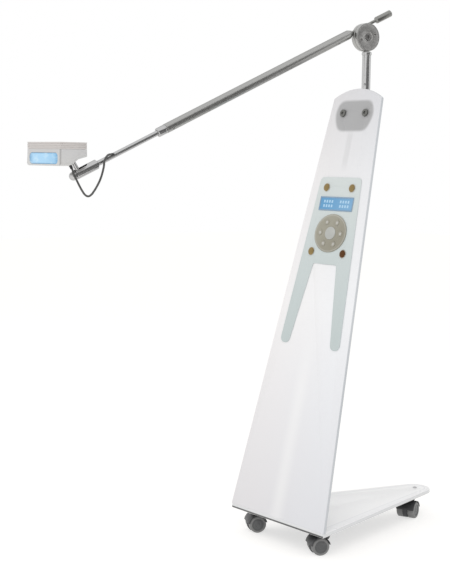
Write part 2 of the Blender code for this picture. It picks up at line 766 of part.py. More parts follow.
def stud_places():
    top, foot = FASCIA_TOP_V - STUD_BELOW_TOP, FASCIA_ARCH_V + STUD_ABOVE_ARCH
    top_u = panel_half_width(top) - STUD_TOP_INSET
    foot_u = panel_half_width(foot) - STUD_FOOT_INSET
    return (
        ("stud_top_left", -top_u, top),
        ("stud_top_right", top_u, top),
        ("stud_foot_left", -foot_u, foot),
        ("stud_foot_right", foot_u, foot),
    )


def clamp_bolt_places():
    v = CLAMP_V + CLAMP_WIDEST_ABOVE_MIDDLE
    return (("clamp_bolt_left", -CLAMP_BOLT_U, v), ("clamp_bolt_right", CLAMP_BOLT_U, v))


def drill(target, places, radius):
    """Round holes right through a piece that lies in the panel's frame."""
    reach = PANEL_THICKNESS + STUD_GRIP + OVERRUN
    for _, u, v in places:
        cut(target, pin(radius, -reach, reach, SMALL_SIDES, shift(u, v)))


def cut_control_openings(target):
    """The display's and the keypad's openings, which the panel and the fascia share."""
    reach = PANEL_THICKNESS + OVERRUN
    width, height = display_body_size()
    cut(target, prism(rectangle(width + 2 * SEAT, height + 2 * SEAT, (0.0, DISPLAY_V)), -reach, reach))
    half_width, half_height = keypad_body_half_size()
    opening = oval(half_width + SEAT, half_height + SEAT, ROUND_SIDES, (0.0, KEYPAD_V))
    cut(target, prism(opening, -reach, reach))


def make_panel(finishes, panel):
    bm = trim_level(prism(panel_outline(), -PANEL_THICKNESS, 0.0, PANEL_EDGE), DECK_TOP + SEAT)
    sheet = node("front_panel", bm, finishes["acrylic"], panel)
    drill(sheet, stud_places(), STUD_SHANK_RADIUS + SEAT)
    drill(sheet, clamp_bolt_places(), CLAMP_BOLT_RADIUS + SEAT)
    cut_control_openings(sheet)


def make_foot_bar(finishes, panel):
    """Angle inside the foot: one leg on the deck, one up the panel's back, both notched for the pole."""
    lean = math.radians(PANEL_LEAN_DEG)
    thick, leg = FOOT_BAR_THICKNESS, FOOT_BAR_LEG
    # Side view: first how far behind the panel's face, then how far up the slope
    deck = Vector((math.cos(lean), math.sin(lean)))
    square = Vector((-math.sin(lean), math.cos(lean)))
    corner = Vector((-PANEL_BACK, -PANEL_BACK * math.tan(lean) + SEAT / math.cos(lean)))
    inner = corner + square * thick
    inner_corner = inner + deck * ((thick - (inner.x - corner.x)) / deck.x)
    points = [
        corner,
        corner + deck * leg,
        corner + deck * leg + square * thick,
        inner_corner,
        Vector((corner.x + thick, corner.y + leg)),
        Vector((corner.x, corner.y + leg)),
    ]
    half = FOOT_BAR_LENGTH / 2
    bm = prism([(-p.x, p.y) for p in points], -half, half)
    # The side view's first axis becomes the panel's z, and its length lies across the panel
    swap = Matrix(((0, 0, 1, 0), (0, 1, 0, 0), (1, 0, 0, 0), (0, 0, 0, 1)))
    bar = node("foot_bar", moved(bm, swap), finishes["aluminium"], panel, smooth=False)
    reach = leg + OVERRUN
    stand = shift(0.0, 0.0, -POLE_BEHIND_FACE) @ turn_x(90)
    cut(bar, pin(POLE_RADIUS + RUN, -reach, reach, ROUND_SIDES, stand))


# Pole and clamp

def slope_y(z):
    """Where the pole's line lies at a height, before its bend."""
    lean = math.radians(PANEL_LEAN_DEG)
    return POLE_BEHIND_FACE / math.cos(lean) + (z - DECK_TOP) * math.tan(lean)


def pole_y():
    """Where the pole stands after its bend."""
    return slope_y(bend_z())


def bend_z():
    """Height where the pole's two straight lines would meet."""
    lean = math.radians(PANEL_LEAN_DEG)
    return DECK_TOP + PANEL_LENGTH * math.cos(lean) + POLE_BEND_ABOVE_PANEL


def pole_line():
    """Pole centres from its foot on the steel plate, up the slope, round the bend and straight up."""
    lean = math.radians(PANEL_LEAN_DEG)
    foot_z = PLATE_TOP + SEAT
    centre_y = pole_y() - POLE_BEND_RADIUS
    centre_z = bend_z() + POLE_BEND_RADIUS * math.tan(lean / 2)
    line = [(0.0, slope_y(foot_z), foot_z)]
    for turn in np.linspace(lean, 0.0, POLE_BEND_STEPS):
        y = centre_y + POLE_BEND_RADIUS * math.cos(turn)
        line.append((0.0, y, centre_z - POLE_BEND_RADIUS * math.sin(turn)))
    return line + [(0.0, pole_y(), POLE_TOP_Z)]


def pole_stub():
    """The pole's line where it passes through the base sheet."""
    low, high = PLATE_TOP - OVERRUN, DECK_TOP + OVERRUN
    return [(0.0, slope_y(low), low), (0.0, slope_y(high), high)]


def make_pole(finishes, lamp):
    line = pole_line()
    pole = node("pole", swept_bar(line, POLE_RADIUS), finishes["chrome"], lamp)
    low = PLATE_TOP - OVERRUN
    bore = [(0.0, slope_y(low), low)] + line[1:-1] + [(0.0, pole_y(), POLE_TOP_Z + OVERRUN)]
    cut(pole, swept_bar(bore, POLE_BORE_RADIUS))
    collar_top = POLE_TOP_Z - SEAT
    collar = [
        (POLE_RADIUS + SEAT, collar_top - COLLAR_HEIGHT),
        (COLLAR_RADIUS, collar_top - COLLAR_HEIGHT),
        (COLLAR_RADIUS, collar_top),
        (POLE_RADIUS + SEAT, collar_top),
    ]
    node("pole_collar", turned(collar), finishes["chrome"], lamp, shift(0.0, pole_y()))


def clamp_outline():
    widest = CLAMP_V + CLAMP_WIDEST_ABOVE_MIDDLE
    top, foot = CLAMP_V + CLAMP_HALF_HEIGHT, CLAMP_V - CLAMP_HALF_HEIGHT
    right = [(CLAMP_FOOT_HALF_WIDTH, foot), (CLAMP_HALF_WIDTH, widest), (CLAMP_TOP_HALF_WIDTH, top)]
    return rounded(right + [(-u, v) for u, v in reversed(right)], CLAMP_CORNER)


def make_clamp(finishes, panel):
    back = PANEL_BACK - CLAMP_PLATE_THICKNESS
    plate = node("clamp_plate", prism(clamp_outline(), back, PANEL_BACK), finishes["clamp_grey"], panel)
    half = CLAMP_SADDLE_HALF_WIDTH
    low = (-half, CLAMP_V - CLAMP_SADDLE_HALF_HEIGHT, -POLE_BEHIND_FACE - POLE_RADIUS - CLAMP_SADDLE_WALL)
    high = (half, CLAMP_V + CLAMP_SADDLE_HALF_HEIGHT, back + CLAMP_PLATE_THICKNESS / 2)
    add(plate, block(low, high))
    reach = CLAMP_SADDLE_HALF_HEIGHT + OVERRUN
    stand = shift(0.0, CLAMP_V, -POLE_BEHIND_FACE) @ turn_x(90)
    cut(plate, pin(POLE_RADIUS + SEAT, -reach, reach, ROUND_SIDES, stand))
    drill(plate, clamp_bolt_places(), CLAMP_BOLT_RADIUS + SEAT)
    top = SEAT + CLAMP_BOLT_HEAD_HEIGHT
    floor = top - CLAMP_BOLT_SOCKET_DEPTH
    edge = CLAMP_BOLT_HEAD_HEIGHT / 4
    bolt = [
        (0.0, back - SEAT),
        (CLAMP_BOLT_RADIUS, back - SEAT),
        (CLAMP_BOLT_RADIUS, SEAT),
        (CLAMP_BOLT_HEAD_RADIUS, SEAT),
        (CLAMP_BOLT_HEAD_RADIUS, top - edge),
        (CLAMP_BOLT_HEAD_RADIUS - edge, top),
        (CLAMP_BOLT_SOCKET_RADIUS, top),
        (CLAMP_BOLT_SOCKET_RADIUS, floor),
        (0.0, floor),
    ]
    for name, u, v in clamp_bolt_places():
        node(name, turned(bolt, SMALL_SIDES), finishes["zinc"], panel, shift(u, v))


# Controls

def fascia_outline():
    """An arch with two legs whose outer edges run beside the panel's own edges."""
    top = FASCIA_TOP_V
    tip = FASCIA_ARCH_V - FASCIA_LEG_LENGTH
    outer_tip = panel_half_width(tip) - FASCIA_MARGIN
    right = [
        (FASCIA_ARCH_HALF_WIDTH, FASCIA_ARCH_V),
        (outer_tip - FASCIA_LEG_TIP_WIDTH, tip),
        (outer_tip, tip),
        (panel_half_width(top) - FASCIA_MARGIN, top),
    ]
    tip_round = FASCIA_LEG_TIP_WIDTH * 0.42
    radii = [FASCIA_ARCH_CORNER, tip_round, tip_round, FASCIA_CORNER]
    return rounded(right + [(-u, v) for u, v in reversed(right)], radii + radii[::-1])


def make_fascia(finishes, panel):
    plate = prism(fascia_outline(), SEAT, FASCIA_FACE)
    fascia = node("control_fascia", plate, finishes["fascia"], panel, smooth=False)
    drill(fascia, stud_places(), STUD_SHANK_RADIUS + SEAT)
    cut_control_openings(fascia)


def make_studs(finishes, panel):
    seat = FASCIA_FACE + SEAT
    washer_top = seat + STUD_WASHER_HEIGHT
    profile = [
        (0.0, PANEL_BACK - STUD_GRIP),
        (STUD_SHANK_RADIUS, PANEL_BACK - STUD_GRIP),
        (STUD_SHANK_RADIUS, seat),
        (STUD_WASHER_RADIUS, seat),
        (STUD_WASHER_RADIUS, washer_top),
        (STUD_DOME_RADIUS, washer_top),
        (STUD_DOME_RADIUS * 0.85, washer_top + STUD_DOME_HEIGHT * 0.6),
        (STUD_DOME_RADIUS * 0.5, washer_top + STUD_DOME_HEIGHT * 0.92),
        (0.0, washer_top + STUD_DOME_HEIGHT),
    ]
    for name, u, v in stud_places():
        node(name, turned(profile, SMALL_SIDES), finishes["brass"], panel, shift(u, v))


def display_body_size():
    """Width and height of the display behind its bezel."""
    return DISPLAY_WIDTH - 2 * DISPLAY_BEZEL, DISPLAY_HEIGHT - 2 * DISPLAY_BEZEL


def make_display(finishes, panel):
    """Display module through the panel, with a bezel that lies on the fascia."""
    seat = FASCIA_FACE + SEAT
    top = seat + DISPLAY_BEZEL_PROUD
    width, height = display_body_size()
    centre = (0.0, DISPLAY_V)
    bezel = prism(rounded(rectangle(DISPLAY_WIDTH, DISPLAY_HEIGHT, centre), DISPLAY_CORNER), seat, top)
    module = node("display", bezel, finishes["screen"], panel, smooth=False)
    body_top = seat + DISPLAY_BEZEL_PROUD / 4
    add(module, prism(rectangle(width, height, centre), -PANEL_THICKNESS, body_top))
    cut(module, prism(rectangle(width, height, centre), top - DISPLAY_GLASS_RECESS, top + OVERRUN))


def keypad_body_half_size():
    """Half the width and height of the keypad's body behind its brim."""
    around = KEY_RADIUS + 2 * KEY_FLANGE
    return KEY_RING_HALF_WIDTH + around, KEY_RING_HALF_HEIGHT + around


def key_places():
    """Name, half width, half height and place of each key."""
    places = [("key_centre", CENTRE_KEY_HALF_WIDTH, CENTRE_KEY_HALF_HEIGHT, 0.0, KEYPAD_V)]
    for i in range(KEY_COUNT):
        angle = 2 * math.pi * i / KEY_COUNT
        u = KEY_RING_HALF_WIDTH * math.cos(angle)
        v = KEYPAD_V + KEY_RING_HALF_HEIGHT * math.sin(angle)
        places.append((f"key_{i + 1}", KEY_RADIUS, KEY_RADIUS, u, v))
    return places


def make_keypad(finishes, panel):
    seat = FASCIA_FACE + SEAT
    top = seat + KEYPAD_PROUD
    brim = oval(KEYPAD_HALF_WIDTH, KEYPAD_HALF_HEIGHT, DISC_SIDES, (0.0, KEYPAD_V))
    plate = node("keypad_plate", prism(brim, seat, top, KEYPAD_PROUD * 0.4), finishes["keypad"], panel)
    body = oval(*keypad_body_half_size(), ROUND_SIDES, (0.0, KEYPAD_V))
    add(plate, prism(body, -PANEL_THICKNESS, seat + KEYPAD_PROUD / 2))
    for name, half_width, half_height, u, v in key_places():
        pocket = oval(half_width + KEY_FLANGE + RUN, half_height + KEY_FLANGE + RUN, KEY_SIDES, (u, v))
        cut(plate, prism(pocket, PANEL_BACK - OVERRUN, seat))
        shaft = oval(half_width + RUN, half_height + RUN, KEY_SIDES, (u, v))
        cut(plate, prism(shaft, seat - KEYPAD_PROUD, top + OVERRUN))
        make_key(name, half_width, half_height, finishes, panel, shift(u, v))


def make_key(name, half_width, half_height, finishes, panel, place):
    """A key that stands through the plate, held from behind by its flange, with a post to the switch."""
    seat = FASCIA_FACE + SEAT
    key_top = seat + KEYPAD_PROUD + KEY_PROUD
    flange_top = seat - RUN
    middle = flange_top - KEY_FLANGE / 2
    cap = prism(oval(half_width, half_height, KEY_SIDES), middle, key_top, KEY_PROUD * 0.4)
    key = node(name, cap, finishes["key"], panel, place)
    flange = oval(half_width + KEY_FLANGE, half_height + KEY_FLANGE, KEY_SIDES)
    add(key, prism(flange, flange_top - KEY_FLANGE, flange_top))
    add(key, pin(KEY_RADIUS / 3, PANEL_BACK + KEY_TRAVEL + RUN, middle, 12))


def make_board(finishes, panel):
    """Circuit board close behind the panel, with its two main chips on the side away from it."""
    back = PANEL_BACK - BOARD_THICKNESS
    top = FASCIA_TOP_V - BOARD_BELOW_TOP
    low = (-BOARD_HALF_WIDTH, top - BOARD_HEIGHT, back)
    board = node("control_board", block(low, (BOARD_HALF_WIDTH, top, PANEL_BACK)), finishes["circuit"], panel)
    middle = top - BOARD_HEIGHT / 2
    half = BOARD_CHIP_SIZE / 2
    for side in (-1, 1):
        u = side * BOARD_HALF_WIDTH * 0.62
        low = (u - half, middle - half, back - BOARD_CHIP_HEIGHT)
        add(board, block(low, (u + half, middle + half, back + BOARD_THICKNESS / 2)))


# Rear housing and supply

def housing_outline(inset):
    top, foot = HOUSING_TOP_V - inset, HOUSING_FOOT_V + inset
    top_half = panel_half_width(top) - HOUSING_MARGIN - inset
    foot_half = panel_half_width(foot) - HOUSING_MARGIN - inset
    return [(-foot_half, foot), (foot_half, foot), (top_half, top), (-top_half, top)]


def wall_block(u, width, depth, gap):
    """A cutter through the housing's lower wall, for what sits in it."""
    x, z = width / 2 + gap, depth / 2 + gap
    low = (u - x, HOUSING_FOOT_V - OVERRUN, LOWER_WALL_W - z)
    return block(low, (u + x, HOUSING_FOOT_V + OVERRUN, LOWER_WALL_W + z))


def pole_channel():
    """The pole's way through the housing's end walls, open towards the panel."""
    clear = POLE_RADIUS + RUN
    outline = arc((0.0, -POLE_BEHIND_FACE), clear, 180.0, 360.0, SMALL_SIDES)
    outline += [(clear, OVERRUN), (-clear, OVERRUN)]
    bm = prism(outline, HOUSING_FOOT_V - OVERRUN, HOUSING_TOP_V + OVERRUN)
    # Drawn across and out of the panel, and laid along its slope
    return moved(bm, Matrix(((1, 0, 0, 0), (0, 0, 1, 0), (0, 1, 0, 0), (0, 0, 0, 1))))


def make_housing(finishes, panel):
    """A tray over the electronics, open to the panel, that the pole passes down through."""
    outside = rounded(housing_outline(0.0), HOUSING_CORNER)
    shell = prism(outside, HOUSING_BACK, PANEL_BACK)
    housing = node("rear_housing", shell, finishes["housing"], panel, smooth=False)
    inside = rounded(housing_outline(HOUSING_WALL), HOUSING_CORNER - HOUSING_WALL)
    cut(housing, prism(inside, HOUSING_BACK + HOUSING_WALL, OVERRUN))
    root = HOUSING_BACK + HOUSING_WALL / 2
    bore, floor = STUD_SHANK_RADIUS + SEAT, PANEL_BACK - STUD_GRIP - SEAT
    post = [(0.0, root), (HOUSING_POST_RADIUS, root), (HOUSING_POST_RADIUS, PANEL_BACK)]
    post += [(bore, PANEL_BACK), (bore, floor), (0.0, floor)]
    for _, u, v in stud_places():
        add(housing, turned(post, SMALL_SIDES, shift(u, v)))
    cut(housing, pole_channel())
    cut(housing, wall_block(INLET_U, INLET_WIDTH, INLET_DEPTH, SEAT))
    cut(housing, wall_block(-SWITCH_U, SWITCH_WIDTH, SWITCH_DEPTH, SEAT))


def make_inlet(finishes, panel):
    """Mains inlet: a flanged socket with three short pins, opening downwards."""
    w = LOWER_WALL_W
    x, z = INLET_WIDTH / 2, INLET_DEPTH / 2
    floor = HOUSING_FOOT_V - SEAT
    mouth = floor - INLET_FLANGE_THICKNESS
    body = block((INLET_U - x, (floor + mouth) / 2, w - z), (INLET_U + x, floor + INLET_HEIGHT, w + z))
    inlet = node("mains_inlet", body, finishes["black_plastic"], panel)
    wide, deep = x + INLET_FLANGE, z + INLET_FLANGE
    add(inlet, block((INLET_U - wide, mouth, w - deep), (INLET_U + wide, floor, w + deep)))
    wide, deep = x - INLET_RECESS_WALL, z - INLET_RECESS_WALL
    recess_top = mouth + INLET_RECESS_DEPTH
    cut(inlet, block((INLET_U - wide, mouth - OVERRUN, w - deep), (INLET_U + wide, recess_top, w + deep)))
    for i in (-1, 0, 1):
        u = INLET_U + i * INLET_PIN_PITCH
        side = INLET_PIN_THICKNESS / 2
        near = w - abs(i) * INLET_PIN_WIDTH / 2
        low = (u - side, recess_top - INLET_PIN_LENGTH, near - INLET_PIN_WIDTH / 2)
        high = (u + side, recess_top + INLET_RECESS_WALL / 2, near + INLET_PIN_WIDTH / 2)
        add(inlet, block(low, high))


def make_switch(finishes, panel):
    """Rocker of the power switch: it rocks in the wall's slot about an axis square to the panel."""
    place = shift(-SWITCH_U, HOUSING_FOOT_V + HOUSING_WALL / 2, LOWER_WALL_W)
    axis = frame("switch_axis", panel, place)
    half = SWITCH_WIDTH / 2 - 3 * RUN
    depth = SWITCH_DEPTH / 2 - RUN
    wall = HOUSING_WALL / 2
    side_view = [
        (-half, -wall - SWITCH_PROUD),
        (0.0, -wall - SWITCH_PROUD / 2),
        (half, -wall - SWITCH_PROUD),
        (half * 0.95, wall),
        (half * 0.3, SWITCH_BODY_HEIGHT),
        (-half * 0.3, SWITCH_BODY_HEIGHT),
        (-half * 0.95, wall),
    ]
    rocker = prism(side_view, -depth, depth)
    node("power_switch", rocker, finishes["black_plastic"], axis, turn_z(-SWITCH_ROCK_DEG), smooth=False)


def make_supply(finishes, panel):
    """Power supply on the housing's back wall, beside the pole: a board, a transformer and a capacitor."""
    back = HOUSING_BACK + HOUSING_WALL + SEAT
    top = back + SUPPLY_BASE
    right = -POLE_RADIUS - SUPPLY_FROM_POLE
    left = right - SUPPLY_WIDTH
    foot = HOUSING_FOOT_V + SUPPLY_ABOVE_FOOT
    head = foot + SUPPLY_HEIGHT
    supply = node("power_supply", block((left, foot, back), (right, head, top)), finishes["circuit"], panel)
    margin = SUPPLY_BLOCK_MARGIN
    low = (left + margin, foot + margin, top - SUPPLY_BASE / 2)
    high = (right - margin, foot + margin + SUPPLY_BLOCK_HEIGHT, top + SUPPLY_BLOCK_DEPTH)
    add(supply, block(low, high))
    place = shift((left + right) / 2, head - margin - 2 * SUPPLY_CAN_RADIUS)
    can_top = top + SUPPLY_BLOCK_DEPTH
    add(supply, pin(SUPPLY_CAN_RADIUS, top - SUPPLY_BASE / 2, can_top, SMALL_SIDES, place))


# Friction joint

def disc_profile(bore, thickness):
    """Section of a disc with chamfered rims, about its middle plane."""
    half = thickness / 2
    rim = DISC_RADIUS - DISC_EDGE
    side = half - DISC_EDGE
    return [(bore, -half), (rim, -half), (DISC_RADIUS, -side), (DISC_RADIUS, side), (rim, half), (bore, half)]


def make_joint(finishes, swivel):
    """What turns on the pole: its disc with a spigot, the friction washer, the pivot bolt and its nut."""
    half = POLE_DISC_THICKNESS / 2
    round_disc = turned(disc_profile(0.0, POLE_DISC_THICKNESS), DISC_SIDES, turn_y(90))
    disc = node("pole_disc", round_disc, finishes["aluminium"], swivel)
    shoulder = -DISC_RADIUS - SHOULDER_HEIGHT + SEAT
    spigot = [
        (0.0, shoulder - SPIGOT_LENGTH),
        (POLE_BORE_RADIUS - RUN, shoulder - SPIGOT_LENGTH),
        (POLE_BORE_RADIUS - RUN, shoulder),
        (SHOULDER_RADIUS, shoulder),
        (SHOULDER_RADIUS, -DISC_RADIUS - SHOULDER_HEIGHT / 2),
        (half * 0.9, -DISC_RADIUS - RUN),
        (half * 0.9, -DISC_RADIUS + SHOULDER_INTO_DISC),
        (0.0, -DISC_RADIUS + SHOULDER_INTO_DISC),
    ]
    add(disc, turned(spigot))
    cut(disc, pin(PIVOT_HEAD_RADIUS + SEAT, half - PIVOT_RECESS, half + OVERRUN, ROUND_SIDES, turn_y(90)))
    cut(disc, pin(PIVOT_RADIUS + SEAT, -half - OVERRUN, half, SMALL_SIDES, turn_y(90)))
    for side in (1, -1):
        across = turn_x(PIN_HOLE_TURN_DEG) @ shift(0.0, side * PIN_HOLE_FROM_CENTRE) @ turn_y(90)
        cut(disc, pin(PIN_HOLE_RADIUS, half - PIN_HOLE_DEPTH, half + OVERRUN, SMALL_SIDES, across))
    near, far = -half - SEAT, -half - SEAT - WASHER_THICKNESS
    bore = PIVOT_RADIUS + RUN
    washer = [(bore, far), (WASHER_RADIUS, far), (WASHER_RADIUS, near), (bore, near)]
    node("friction_washer", turned(washer, ROUND_SIDES, turn_y(90)), finishes["fibre"], swivel)
    nut_near = ARM_DISC_X - ARM_DISC_THICKNESS / 2 - SEAT
    nut_far = nut_near - PIVOT_NUT_THICKNESS
    head_floor = half - PIVOT_RECESS + SEAT
    head_top = head_floor + PIVOT_HEAD_HEIGHT
    bolt = [
        (0.0, nut_far - SEAT),
        (PIVOT_RADIUS, nut_far - SEAT),
        (PIVOT_RADIUS, head_floor),
        (PIVOT_HEAD_RADIUS, head_floor),
        (PIVOT_HEAD_RADIUS, head_top),
        (PIVOT_SOCKET_RADIUS, head_top),
        (PIVOT_SOCKET_RADIUS, head_top - PIVOT_SOCKET_DEPTH),
        (0.0, head_top - PIVOT_SOCKET_DEPTH),
    ]
    node("pivot_bolt", turned(bolt, SMALL_SIDES, turn_y(90)), finishes["zinc"], swivel)
    hexagon = pin(PIVOT_NUT_RADIUS, nut_far, nut_near, 6, turn_y(90))
    nut = node("pivot_nut", hexagon, finishes["zinc"], swivel, smooth=False)
    cut(nut, pin(bore, nut_far - OVERRUN, nut_near + OVERRUN, SMALL_SIDES, turn_y(90)))


# Arm

def arm_matrix():
    """From the arm's frame (x across, y up square to it, z along it) to the swivel's frame."""
    droop = math.radians(ARM_DROOP_DEG)
    along = Vector((0, -math.cos(droop), -math.sin(droop)))
    up = Vector((0, -math.sin(droop), math.cos(droop)))
    return Matrix((up.cross(along), up, along)).transposed().to_4x4()


def make_arm(finishes, arm, line):
    """Disc, tube and counter handle, whose neck runs through the disc into the tube's plug."""
    profile = disc_profile(PIVOT_RADIUS + RUN, ARM_DISC_THICKNESS)
    disc = turned(profile, DISC_SIDES, shift(ARM_DISC_X) @ turn_y(90))
    arm_disc = node("arm_disc", disc, finishes["aluminium"], arm)
    neck_bore = HANDLE_NECK_RADIUS + SEAT
    cut(arm_disc, pin(neck_bore, -DISC_RADIUS, DISC_RADIUS, SMALL_SIDES, line))
    cone_start = ARM_TUBE_START - ARM_CONE_LENGTH
    plug_end = ARM_TUBE_START + ARM_PLUG_LENGTH
    tube = [
        (neck_bore, cone_start),
        (ARM_CONE_RADIUS, cone_start),
        (ARM_TUBE_RADIUS, ARM_TUBE_START),
        (ARM_TUBE_RADIUS, ARM_TUBE_END),
        (ARM_BORE_RADIUS, ARM_TUBE_END),
        (ARM_BORE_RADIUS, plug_end),
        (neck_bore, plug_end),
    ]
    node("arm_tube", turned(tube), finishes["aluminium"], arm, line)
    far = -HANDLE_START - HANDLE_LENGTH
    edge = HANDLE_CHAMFER / 4
    neck_end = plug_end - ARM_PLUG_LENGTH / 4
    handle = [
        (0.0, far),
        (HANDLE_RADIUS - edge, far),
        (HANDLE_RADIUS, far + edge),
        (HANDLE_RADIUS, -HANDLE_START - HANDLE_CHAMFER),
        (HANDLE_NECK_RADIUS, -HANDLE_START),
        (HANDLE_NECK_RADIUS, neck_end),
        (0.0, neck_end),
    ]
    node("counter_handle", turned(handle, SMALL_SIDES * 2), finishes["aluminium"], arm, line)


def make_tube_collar(finishes, roll):
    """End collar of the tube: it turns in the tube, and the rod slides through it."""
    bore = ROD_RADIUS + RUN
    spigot = ARM_BORE_RADIUS - RUN
    start = ARM_TUBE_END + SEAT
    profile = [
        (bore, start - COLLAR_SPIGOT),
        (spigot, start - COLLAR_SPIGOT),
        (spigot, start),
        (COLLAR_START_RADIUS, start),
        (COLLAR_START_RADIUS, start + COLLAR_LENGTH * 0.90),
        (COLLAR_END_RADIUS, start + COLLAR_LENGTH),
        (bore, start + COLLAR_LENGTH),
    ]
    node("tube_collar", turned(profile), finishes["chrome"], roll)


def grommet_matrix():
    """Frame on the rod's axis whose +Z points out along the cable's first stretch."""
    out = turn_z(CABLE_EXIT_TURN_DEG) @ turn_x(-(90 - CABLE_EXIT_LEAN_DEG))
    return shift(0.0, 0.0, KNUCKLE_START - CABLE_EXIT_BEFORE_KNUCKLE) @ out


def make_rod(finishes, rod):
    """Hollow rod with a guide at its inner end, and the grommet that the cable leaves it through."""
    guide = ARM_BORE_RADIUS - RUN
    start = ARM_TUBE_END - ROD_INSIDE_TUBE
    end = KNUCKLE_START + KNUCKLE_SOCKET_DEPTH
    profile = [
        (ROD_BORE_RADIUS, start),
        (guide, start),
        (guide, start + ROD_GUIDE_LENGTH),
        (ROD_RADIUS, start + ROD_GUIDE_LENGTH),
        (ROD_RADIUS, end),
        (ROD_BORE_RADIUS, end),
    ]
    node("rod", turned(profile), finishes["chrome"], rod)
    sleeve = pin(GROMMET_RADIUS, ROD_BORE_RADIUS, GROMMET_REACH, SMALL_SIDES, grommet_matrix())
    grommet = node("rod_grommet", sleeve, finishes["black_plastic"], rod)
    cut(grommet, pin(ROD_RADIUS + SEAT, start, end, ROUND_SIDES))


def make_knuckle(finishes, rod, roll):
    """Cylinder on the rod's end with a ball seat and a long slot for the stud, closed by a domed cap."""
    end = KNUCKLE_END
    seat_floor = BALL_S - BALL_RADIUS - 2 * SEAT
    socket = KNUCKLE_START + KNUCKLE_SOCKET_DEPTH + SEAT
    profile = [
        (ROD_RADIUS + SEAT, KNUCKLE_START),
        (KNUCKLE_STEP_RADIUS, KNUCKLE_START),
        (KNUCKLE_RADIUS, KNUCKLE_START + 2 * KNUCKLE_CHAMFER),
        (KNUCKLE_RADIUS, end - KNUCKLE_CHAMFER),
        (KNUCKLE_RADIUS - KNUCKLE_CHAMFER, end),
        (KNUCKLE_BORE_RADIUS, end),
        (KNUCKLE_BORE_RADIUS, seat_floor),
        (ROD_BORE_RADIUS, seat_floor),
        (ROD_BORE_RADIUS, socket),
        (ROD_RADIUS + SEAT, socket),
    ]
    knuckle = node("knuckle", turned(profile), finishes["chrome"], rod, roll)
    half = BALL_STUD_RADIUS + RUN
    start = end - SLOT_LENGTH
    corners = [(-half, start), (half, start), (half, end + OVERRUN), (-half, end + OVERRUN)]
    tip = half * 0.95
    slot = prism(rounded(corners, [tip, tip, 0.0, 0.0]), 0.0, KNUCKLE_RADIUS + OVERRUN)
    # The slot is drawn across and along the knuckle, and cut out of its upper side
    swap = Matrix(((1, 0, 0, 0), (0, 0, 1, 0), (0, 1, 0, 0), (0, 0, 0, 1)))
    cut(knuckle, moved(slot, swap))
    rim = end + SEAT
    cap = [
        (0.0, rim),
        (CAP_RADIUS, rim),
        (CAP_RADIUS, rim + CAP_LENGTH * 0.45),
        (CAP_RADIUS * 0.86, rim + CAP_LENGTH * 0.74),
        (CAP_RADIUS * 0.55, rim + CAP_LENGTH * 0.93),
        (0.0, rim + CAP_LENGTH),
    ]
    node("knuckle_cap", turned(cap), finishes["chrome"], rod, roll)


def head_level_matrix():
    """The light head's level frame at the ball's centre, given in the rod's frame."""
    level = arm_matrix().inverted() @ turn_z(HEAD_TURN_DEG - ARM_TURN_DEG)
    return shift(0.0, 0.0, BALL_S) @ level


def stud_matrix():
    """Frame of the ball stud in the light head's frame: +Z up along the stud."""
    return turn_x(BALL_STUD_LEAN_DEG)


def knuckle_roll():
    """Turn of the knuckle about the rod that brings its slot under the ball stud."""
    stud = (head_level_matrix() @ stud_matrix()).to_3x3() @ Vector((0, 0, 1))
    return Matrix.Rotation(math.atan2(-stud.x, stud.y), 4, "Z")


# Ball stud and light head

def tongue_outline():
    """Plate round the stud that reaches forward to the cable's gland."""
    root = oval(TONGUE_ROOT_RADIUS, TONGUE_ROOT_RADIUS, KEY_SIDES)
    tip = oval(TONGUE_TIP_RADIUS, TONGUE_TIP_RADIUS, KEY_SIDES, (GLAND_SIDE, -GLAND_FORWARD))
    points = sorted(root + tip)
    half_loops = []
    for ordered in (points, points[::-1]):
        half_loop = []
        for point in ordered:
            while len(half_loop) > 1 and turns_right(half_loop[-2], half_loop[-1], point):
                half_loop.pop()
            half_loop.append(point)
        half_loops += half_loop[:-1]
    return half_loops


def turns_right(a, b, c):
    return (b[0] - a[0]) * (c[1] - a[1]) - (b[1] - a[1]) * (c[0] - a[0]) <= 0.0


def make_ball_stud(finishes, tilt):
    """Ball, stud, the plate for the cable's gland, and the flange that holds the light head."""
    join = math.asin(BALL_STUD_RADIUS / BALL_RADIUS)
    profile = [(0.0, -BALL_RADIUS * 0.94)]
    for a in np.linspace(-math.asin(0.94), math.pi / 2 - join, 8):
        profile.append((BALL_RADIUS * math.cos(a), BALL_RADIUS * math.sin(a)))
    flange_floor = TONGUE_END + SEAT + PAD_LENGTH + SEAT
    flange_top = flange_floor + STUD_FLANGE_THICKNESS
    profile += [
        (BALL_STUD_RADIUS, flange_floor),
        (STUD_FLANGE_RADIUS, flange_floor),
        (STUD_FLANGE_RADIUS, flange_top),
        (0.0, flange_top),
    ]
    stud = node("ball_stud", turned(profile), finishes["chrome"], tilt, stud_matrix())
    add(stud, prism(tongue_outline(), TONGUE_START, TONGUE_END))
    gland_top = TONGUE_START - SEAT
    foot = gland_top - GLAND_LENGTH
    gland = [(0.0, foot), (GLAND_RADIUS * 0.85, foot), (GLAND_RADIUS, gland_top), (0.0, gland_top)]
    place = stud_matrix() @ shift(GLAND_SIDE, -GLAND_FORWARD)
    node("head_gland", turned(gland, SMALL_SIDES), finishes["black_plastic"], tilt, place)


def head_outline(inset=0.0):
    """The light head seen from above, its sides closing in towards the back."""
    front, back = HEAD_FRONT_WIDTH / 2 - inset, HEAD_BACK_WIDTH / 2 - inset
    front_y, back_y = HEAD_FRONT_Y + inset, HEAD_BACK_Y - inset
    return [(-front, front_y), (front, front_y), (back, back_y), (-back, back_y)]


